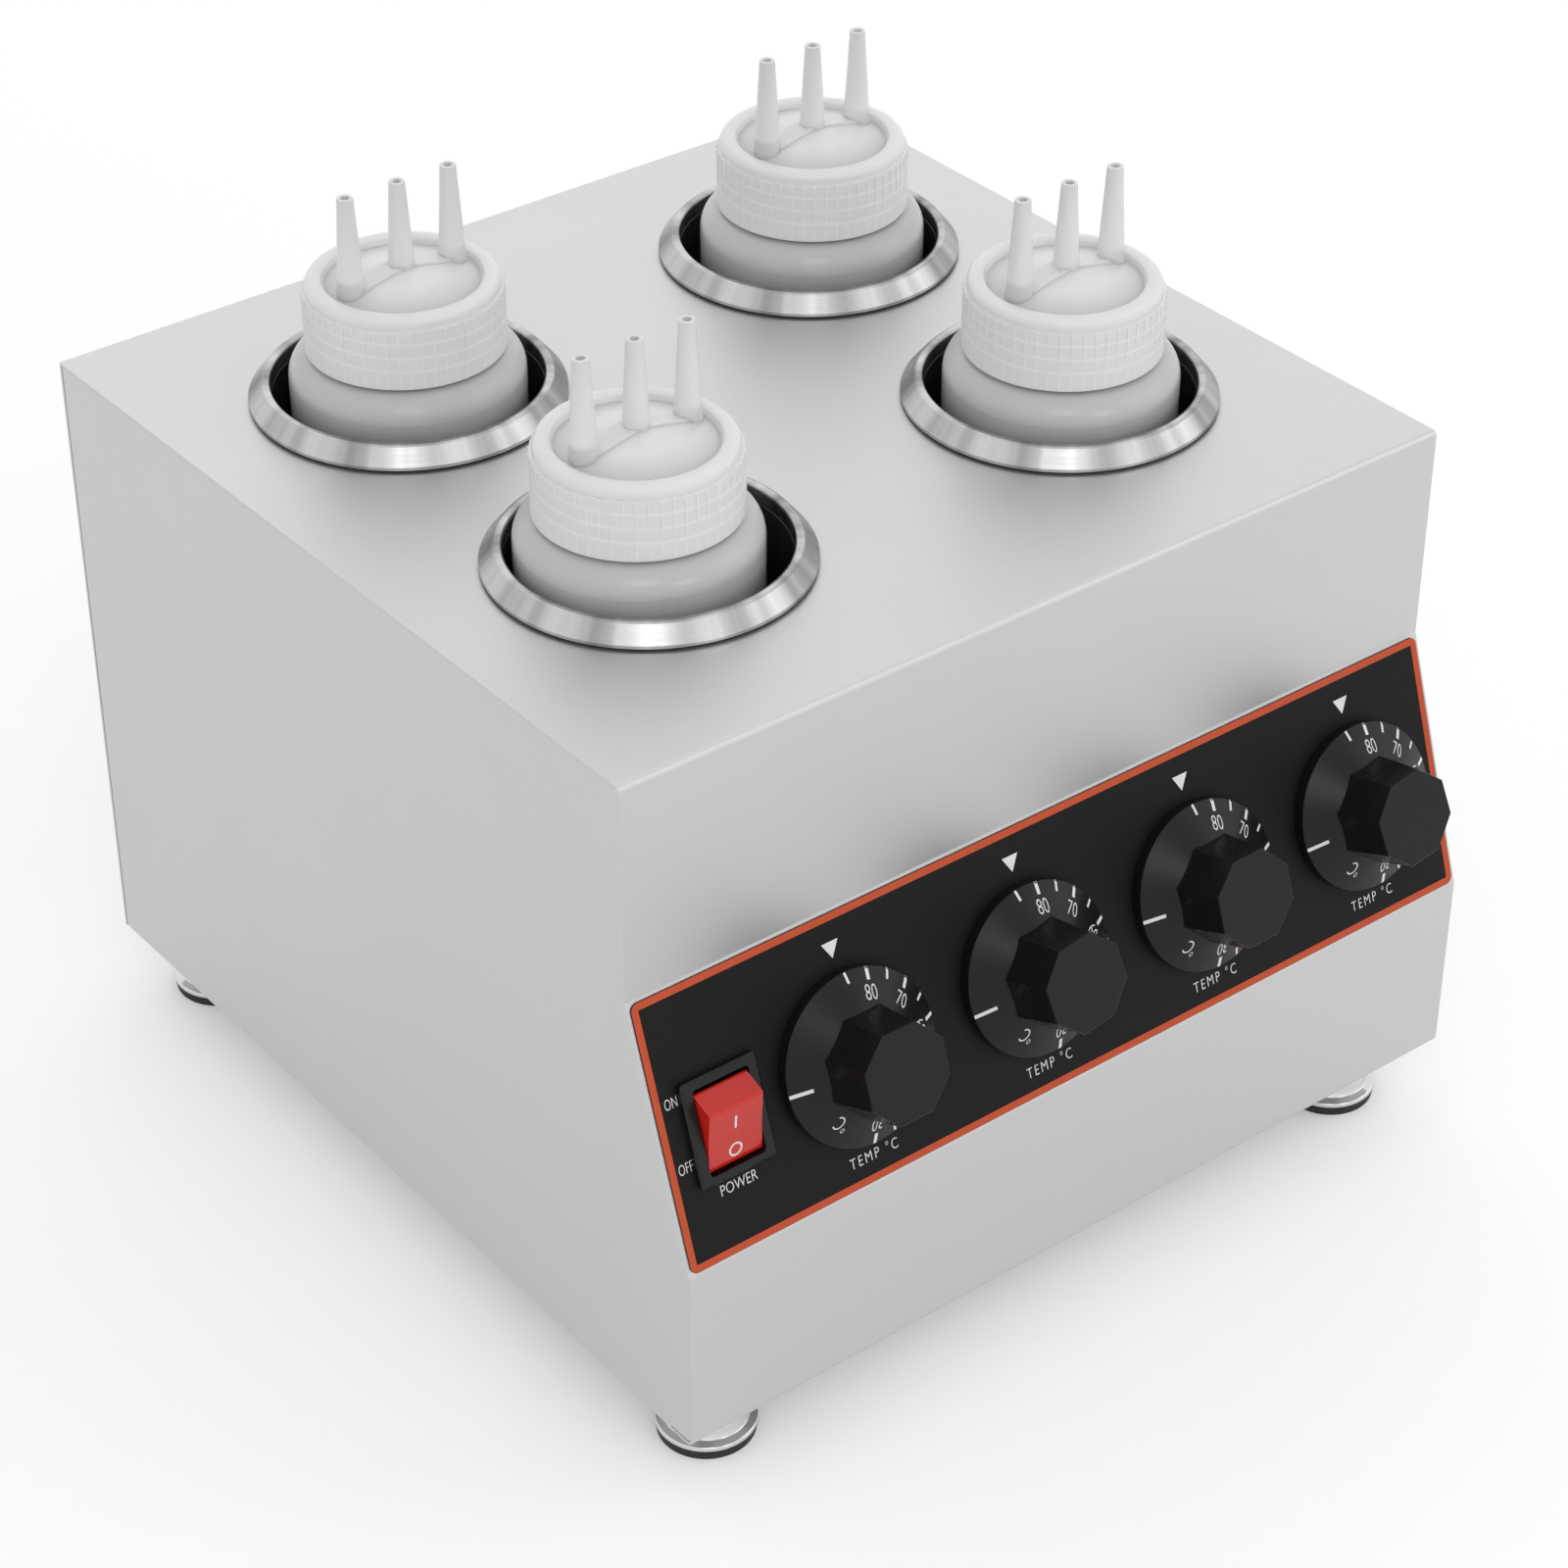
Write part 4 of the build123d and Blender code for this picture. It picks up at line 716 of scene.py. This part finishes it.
class WARMER_OT_panel(WarmerOperator, bpy.types.Operator):
    """Control film, its printed border, pointers and legends"""

    bl_idname = "warmer.panel"
    bl_label = "Control Panel"

    def execute(self, context):
        ink = context.scene.warmer_print
        film = Finish("control_film", ink.film, 0.5, Specular_IOR_Level=0.12)
        grain = film.grain(2200, 0.42, 0.58)
        film.vary("Roughness", grain).bump(grain, 0.08, 0.00005)
        film.tint(film.grain(700, 0, 0.5), shade(ink.film, 1.25))
        give(film, "overlay_film")
        place = dial_place(WELLS[0])
        low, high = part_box("control_overlay")
        half_width = (high.x - low.x) / 2
        inverse = place.inverted()
        heights = [(inverse @ v.co).y for v in frame["nodes"]["control_overlay"].data.vertices]
        bottom, top = min(heights), max(heights)
        middle_x = inverse.translation.x + (low.x + high.x) / 2
        line = Finish("border_ink", ink.border, 0.5, Specular_IOR_Level=0.15)
        line.tint(line.grain(500, 0, 0.4), shade(ink.border, 0.85))
        width, height = 2 * (half_width - BORDER_MARGIN), top - bottom - 2 * BORDER_MARGIN
        outline = outline_shape(width, height, ink.border_corner - BORDER_MARGIN, ink.border_width)
        middle = Matrix.Translation((middle_x, (top + bottom) / 2, 0))
        mesh = laid_on(merged([(outline, middle)]), place, ["control_overlay"], ink.lift, 0.05)
        add_piece("panel_border", mesh, line, "warmer")
        marks = []
        half, low_tip = ink.pointer_width / 2, -ink.pointer_width * 0.43
        for well in WELLS:
            dial = place.inverted() @ dial_place(well)
            up = Matrix.Translation((0, ink.pointer_rise, 0))
            marks.append((polygon_shape((-half, -low_tip), (0, low_tip), (half, -low_tip)), dial @ up))
            down = Matrix.Translation((0, -ink.legend_drop, 0))
            legend = text_shape(ink.legend, ink.legend_height, ink.legend_squeeze, ink.legend_spacing)
            marks.append((legend, dial @ down))
        switch = place.inverted() @ Vector(JOINTS["rocker_tilt"]["pos_m"])
        for text, spot, squeeze in (
            ("POWER", ink.power_place, ink.legend_squeeze),
            ("ON", ink.on_place, ink.switch_squeeze),
            ("OFF", ink.off_place, ink.switch_squeeze),
        ):
            place_text = Matrix.Translation((switch.x + spot[0], switch.y + spot[1], 0))
            marks.append((text_shape(text, ink.legend_height, squeeze), place_text))
        mesh = laid_on(merged(marks), place, ["control_overlay"], ink.lift)
        add_piece("panel_legends", mesh, white_ink(ink), "warmer")
        return {"FINISHED"}


def white_ink(ink):
    """Finish of the printed marks."""
    finish = Finish("white_ink", ink.ink, 0.5)
    return finish.tint(finish.grain(900, 0, 0.6), shade(ink.ink, 0.85))


class WARMER_OT_dials(WarmerOperator, bpy.types.Operator):
    """Black dials with their temperature scales"""

    bl_idname = "warmer.dials"
    bl_label = "Dials"

    def execute(self, context):
        plastic = context.scene.warmer_plastic
        dial = Finish("dial_plastic", plastic.dial, 0.28, Specular_IOR_Level=0.22)
        dial.vary("Roughness", dial.grain(700, 0.26, 0.30))
        give(dial, "dial_plastic")
        settings = context.scene.warmer_dial
        ink = context.scene.warmer_print
        white = white_ink(ink)
        for well in WELLS:
            turn = -JOINTS[f"dial_turn_{well}"]["range_deg"][0]
            place = dial_place(well) @ Matrix.Rotation(math.radians(turn), 4, "Z")
            mesh = laid_on(dial_scale(settings), place, [f"dial_knob_{well}"], ink.lift, 0.001)
            add_piece(f"dial_scale_{well}", mesh, white, f"dial_{well}")
        return {"FINISHED"}


def dial_scale(settings):
    """Marks and numbers of a dial, in the XY plane, with the highest temperature at the top."""
    marks = []

    def put(shape, angle, radius):
        turned = Matrix.Rotation(math.radians(angle - 90), 4, "Z")
        marks.append((shape, turned @ Matrix.Translation((0, radius, 0))))

    for step in range(int((HIGHEST - LOWEST) / 5) + 1):
        width, run = settings.mark_width, settings.mark_length
        if step % 2:  # at the tens
            width, run = settings.ten_width, settings.ten_length
        put(bar_shape(width, run), 90 - step * MARK_ANGLE, settings.mark_radius - run / 2)
    for number in range(LOWEST, HIGHEST, 10):
        angle = 90 - (HIGHEST - number) / 5 * MARK_ANGLE
        put(text_shape(str(number), settings.number_height, settings.number_squeeze), angle, settings.number_radius)
    put(text_shape("°C", settings.number_height, settings.number_squeeze), UNIT_ANGLE, settings.number_radius)
    off_radius = settings.mark_radius - settings.off_length / 2
    put(bar_shape(1.4 * settings.mark_width, settings.off_length), OFF_ANGLE, off_radius)
    return merged(marks)


class WARMER_OT_switch(WarmerOperator, bpy.types.Operator):
    """Black switch with a translucent red rocker"""

    bl_idname = "warmer.switch"
    bl_label = "Switch"

    def execute(self, context):
        plastic = context.scene.warmer_plastic
        ink = context.scene.warmer_print
        body = Finish("switch_black", shade(plastic.dial, 0.9), 0.3, Specular_IOR_Level=0.3)
        grain = body.grain(1200, 0.25, 0.38)
        body.vary("Roughness", grain).bump(grain, 0.04, 0.00005)
        give(body, "switch_black")
        rocker = Finish("rocker_red", plastic.rocker, 0.12, Transmission_Weight=0.2, IOR=1.5, Specular_IOR_Level=0.5)
        rocker.shader.inputs["Subsurface Weight"].default_value = 0.5
        rocker.shader.inputs["Subsurface Radius"].default_value = (0.004, 0.001, 0.001)
        rocker.tint(rocker.grain(160, 0, 0.4), shade(plastic.rocker, 0.8))
        give(rocker, "rocker_red")
        pivot = JOINTS["rocker_tilt"]
        tilt = Matrix.Rotation(math.radians(pivot["range_deg"][1] / 2), 4, "X")
        place = Matrix.Translation(Vector(pivot["pos_m"])) @ dial_place(WELLS[0]).to_3x3().to_4x4() @ tilt
        marks = [
            (bar_shape(*SWITCH_BAR), Matrix.Translation((0, SWITCH_BAR_RISE, 0))),
            (ring_shape(*SWITCH_RING), Matrix.Translation((0, -SWITCH_RING_DROP, 0))),
        ]
        mesh = laid_on(merged(marks), place, ["switch_rocker"], ink.lift)
        add_piece("rocker_marks", mesh, white_ink(ink), "power_rocker")
        return {"FINISHED"}


class WARMER_OT_feet(WarmerOperator, bpy.types.Operator):
    """Polished feet"""

    bl_idname = "warmer.feet"
    bl_label = "Feet"

    def execute(self, context):
        steel = context.scene.warmer_steel
        foot = Finish("polished_foot", steel.plated, 0.14, Metallic=1.0)
        foot.vary("Roughness", foot.grain(200, 0.1, 0.2, (1, 0.05, 1), turned="Vector"))
        give(foot, "foot_metal", "shaft_steel")
        zinc = Finish("zinc_plate", shade(steel.plated, 0.9), 0.35, Metallic=1.0)
        zinc.tint(zinc.grain(400, 0, 0.6), (0.55, 0.55, 0.5))
        give(zinc, "zinc_fasteners")
        return {"FINISHED"}


class WARMER_OT_inside(WarmerOperator, bpy.types.Operator):
    """Thermostats, terminal block and gland"""

    bl_idname = "warmer.inside"
    bl_label = "Inside and Rear"

    def execute(self, context):
        nylon = Finish("black_nylon", (0.02, 0.02, 0.02), 0.5)
        grain = nylon.grain(1000, 0.42, 0.58)
        nylon.vary("Roughness", grain).bump(grain, 0.08, 0.00005)
        give(nylon, "gland_nylon")
        ceramic = Finish("white_ceramic", (0.72, 0.69, 0.62), 0.6)
        ceramic.tint(ceramic.grain(300, 0, 0.5), (0.55, 0.52, 0.45))
        give(ceramic, "connector_ceramic")
        phenolic = Finish("brown_phenolic", (0.09, 0.05, 0.03), 0.45)
        phenolic.tint(phenolic.grain(350, 0, 0.8), (0.16, 0.11, 0.07))
        give(phenolic, "thermostat_case")
        return {"FINISHED"}


class WARMER_OT_stage(WarmerOperator, bpy.types.Operator):
    """Pale floor, soft studio light and the camera"""

    bl_idname = "warmer.stage"
    bl_label = "Stage"

    def execute(self, context):
        stage = context.scene.warmer_stage
        context.scene.view_settings.view_transform = "Standard"
        make_world(context.scene, stage)
        make_floor(stage)
        make_lamps()
        make_camera(context.scene, stage)
        return {"FINISHED"}


def make_world(scene, stage):
    """Plain light from all round; the camera, reflections and clear plastic see white."""
    world = bpy.data.worlds.new("studio")
    scene.world = world
    world.use_nodes = True
    tree = world.node_tree
    plain = tree.nodes["Background"]
    plain.inputs["Color"].default_value = (1, 1, 1, 1)
    plain.inputs["Strength"].default_value = stage.world_level
    white = tree.nodes.new("ShaderNodeBackground")
    white.inputs["Color"].default_value = (1, 1, 1, 1)
    mix = tree.nodes.new("ShaderNodeMixShader")
    tree.links.new(seen_directly(tree), mix.inputs["Fac"])
    tree.links.new(plain.outputs[0], mix.inputs[1])
    tree.links.new(white.outputs[0], mix.inputs[2])
    tree.links.new(mix.outputs[0], tree.nodes["World Output"].inputs["Surface"])


def seen_directly(tree):
    """1 for the rays of the camera, of reflections and of clear plastic, and 0 for the light that falls."""
    path = tree.nodes.new("ShaderNodeLightPath")
    total = path.outputs["Is Camera Ray"]
    for kind in ("Is Glossy Ray", "Is Transmission Ray"):
        either = add_node(tree, "ShaderNodeMath", operation="MAXIMUM")
        tree.links.new(total, either.inputs[0])
        tree.links.new(path.outputs[kind], either.inputs[1])
        total = either.outputs[0]
    return total


def make_floor(stage):
    """Wide white floor that keeps the object's shadow."""
    mesh = bpy.data.meshes.new("floor")
    shape = bar_shape(FLOOR_SIZE, FLOOR_SIZE)
    shape.to_mesh(mesh)
    shape.free()
    floor = bpy.data.objects.new("floor", mesh)
    bpy.context.scene.collection.objects.link(floor)
    white = Finish("floor_white", (0.85, 0.85, 0.85), 0.9)
    tree = white.tree
    glow = tree.nodes.new("ShaderNodeEmission")
    glow.inputs["Color"].default_value = (1, 1, 1, 1)
    level = add_node(tree, "ShaderNodeMath", operation="MULTIPLY")
    level.inputs[1].default_value = stage.floor_glow
    both = tree.nodes.new("ShaderNodeAddShader")
    tree.links.new(seen_directly(tree), level.inputs[0])
    tree.links.new(level.outputs[0], glow.inputs["Strength"])
    tree.links.new(white.shader.outputs[0], both.inputs[0])
    tree.links.new(glow.outputs[0], both.inputs[1])
    tree.links.new(both.outputs[0], tree.nodes["Material Output"].inputs["Surface"])
    mesh.materials.append(white.material)


def make_lamps():
    """Large soft lamps, and a smaller one that catches the dials."""
    target = Vector(LAMP_TARGET)
    for name, (place, size, power) in LAMPS.items():
        data = bpy.data.lights.new(name, "AREA")
        data.shape = "SQUARE"
        data.size = size
        data.energy = power
        lamp = bpy.data.objects.new(name, data)
        lamp.location = place
        lamp.rotation_euler = (target - Vector(place)).to_track_quat("-Z", "Y").to_euler()
        bpy.context.scene.collection.objects.link(lamp)


def make_camera(scene, stage):
    """Camera in front of the left corner, looking down."""
    data = bpy.data.cameras.new("camera")
    data.lens = stage.lens
    data.clip_start, data.clip_end = 0.05, 20
    camera = bpy.data.objects.new("camera", data)
    flat = math.cos(stage.elevation)
    back = Vector((math.sin(stage.azimuth) * flat, -math.cos(stage.azimuth) * flat, math.sin(stage.elevation)))
    camera.location = Vector(stage.aim) + back * stage.distance
    camera.rotation_euler = (-back).to_track_quat("-Z", "Y").to_euler()
    scene.collection.objects.link(camera)
    scene.camera = camera


class WARMER_PT_panel(bpy.types.Panel):
    """Lists the steps in the order they run"""

    bl_idname = "WARMER_PT_panel"
    bl_label = "Topping Warmer"
    bl_space_type = "VIEW_3D"
    bl_region_type = "UI"
    bl_category = "Warmer"

    def draw(self, context):
        for operator in OPERATORS:
            self.layout.operator(operator.bl_idname)


OPERATORS = (
    WARMER_OT_casing,
    WARMER_OT_wells,
    WARMER_OT_bottles,
    WARMER_OT_panel,
    WARMER_OT_dials,
    WARMER_OT_switch,
    WARMER_OT_feet,
    WARMER_OT_inside,
    WARMER_OT_stage,
)
CLASSES = (*SETTINGS.values(), *OPERATORS, WARMER_PT_panel)


def register():
    for made in CLASSES:
        bpy.utils.register_class(made)
    for name, group in SETTINGS.items():
        setattr(bpy.types.Scene, name, PointerProperty(type=group))


def unregister():
    for name in SETTINGS:
        delattr(bpy.types.Scene, name)
    for made in reversed(CLASSES):
        bpy.utils.unregister_class(made)


def main():
    register()
    for operator in OPERATORS:
        module, name = operator.bl_idname.split(".")
        getattr(getattr(bpy.ops, module), name)()


if __name__ == "__main__":
    main()
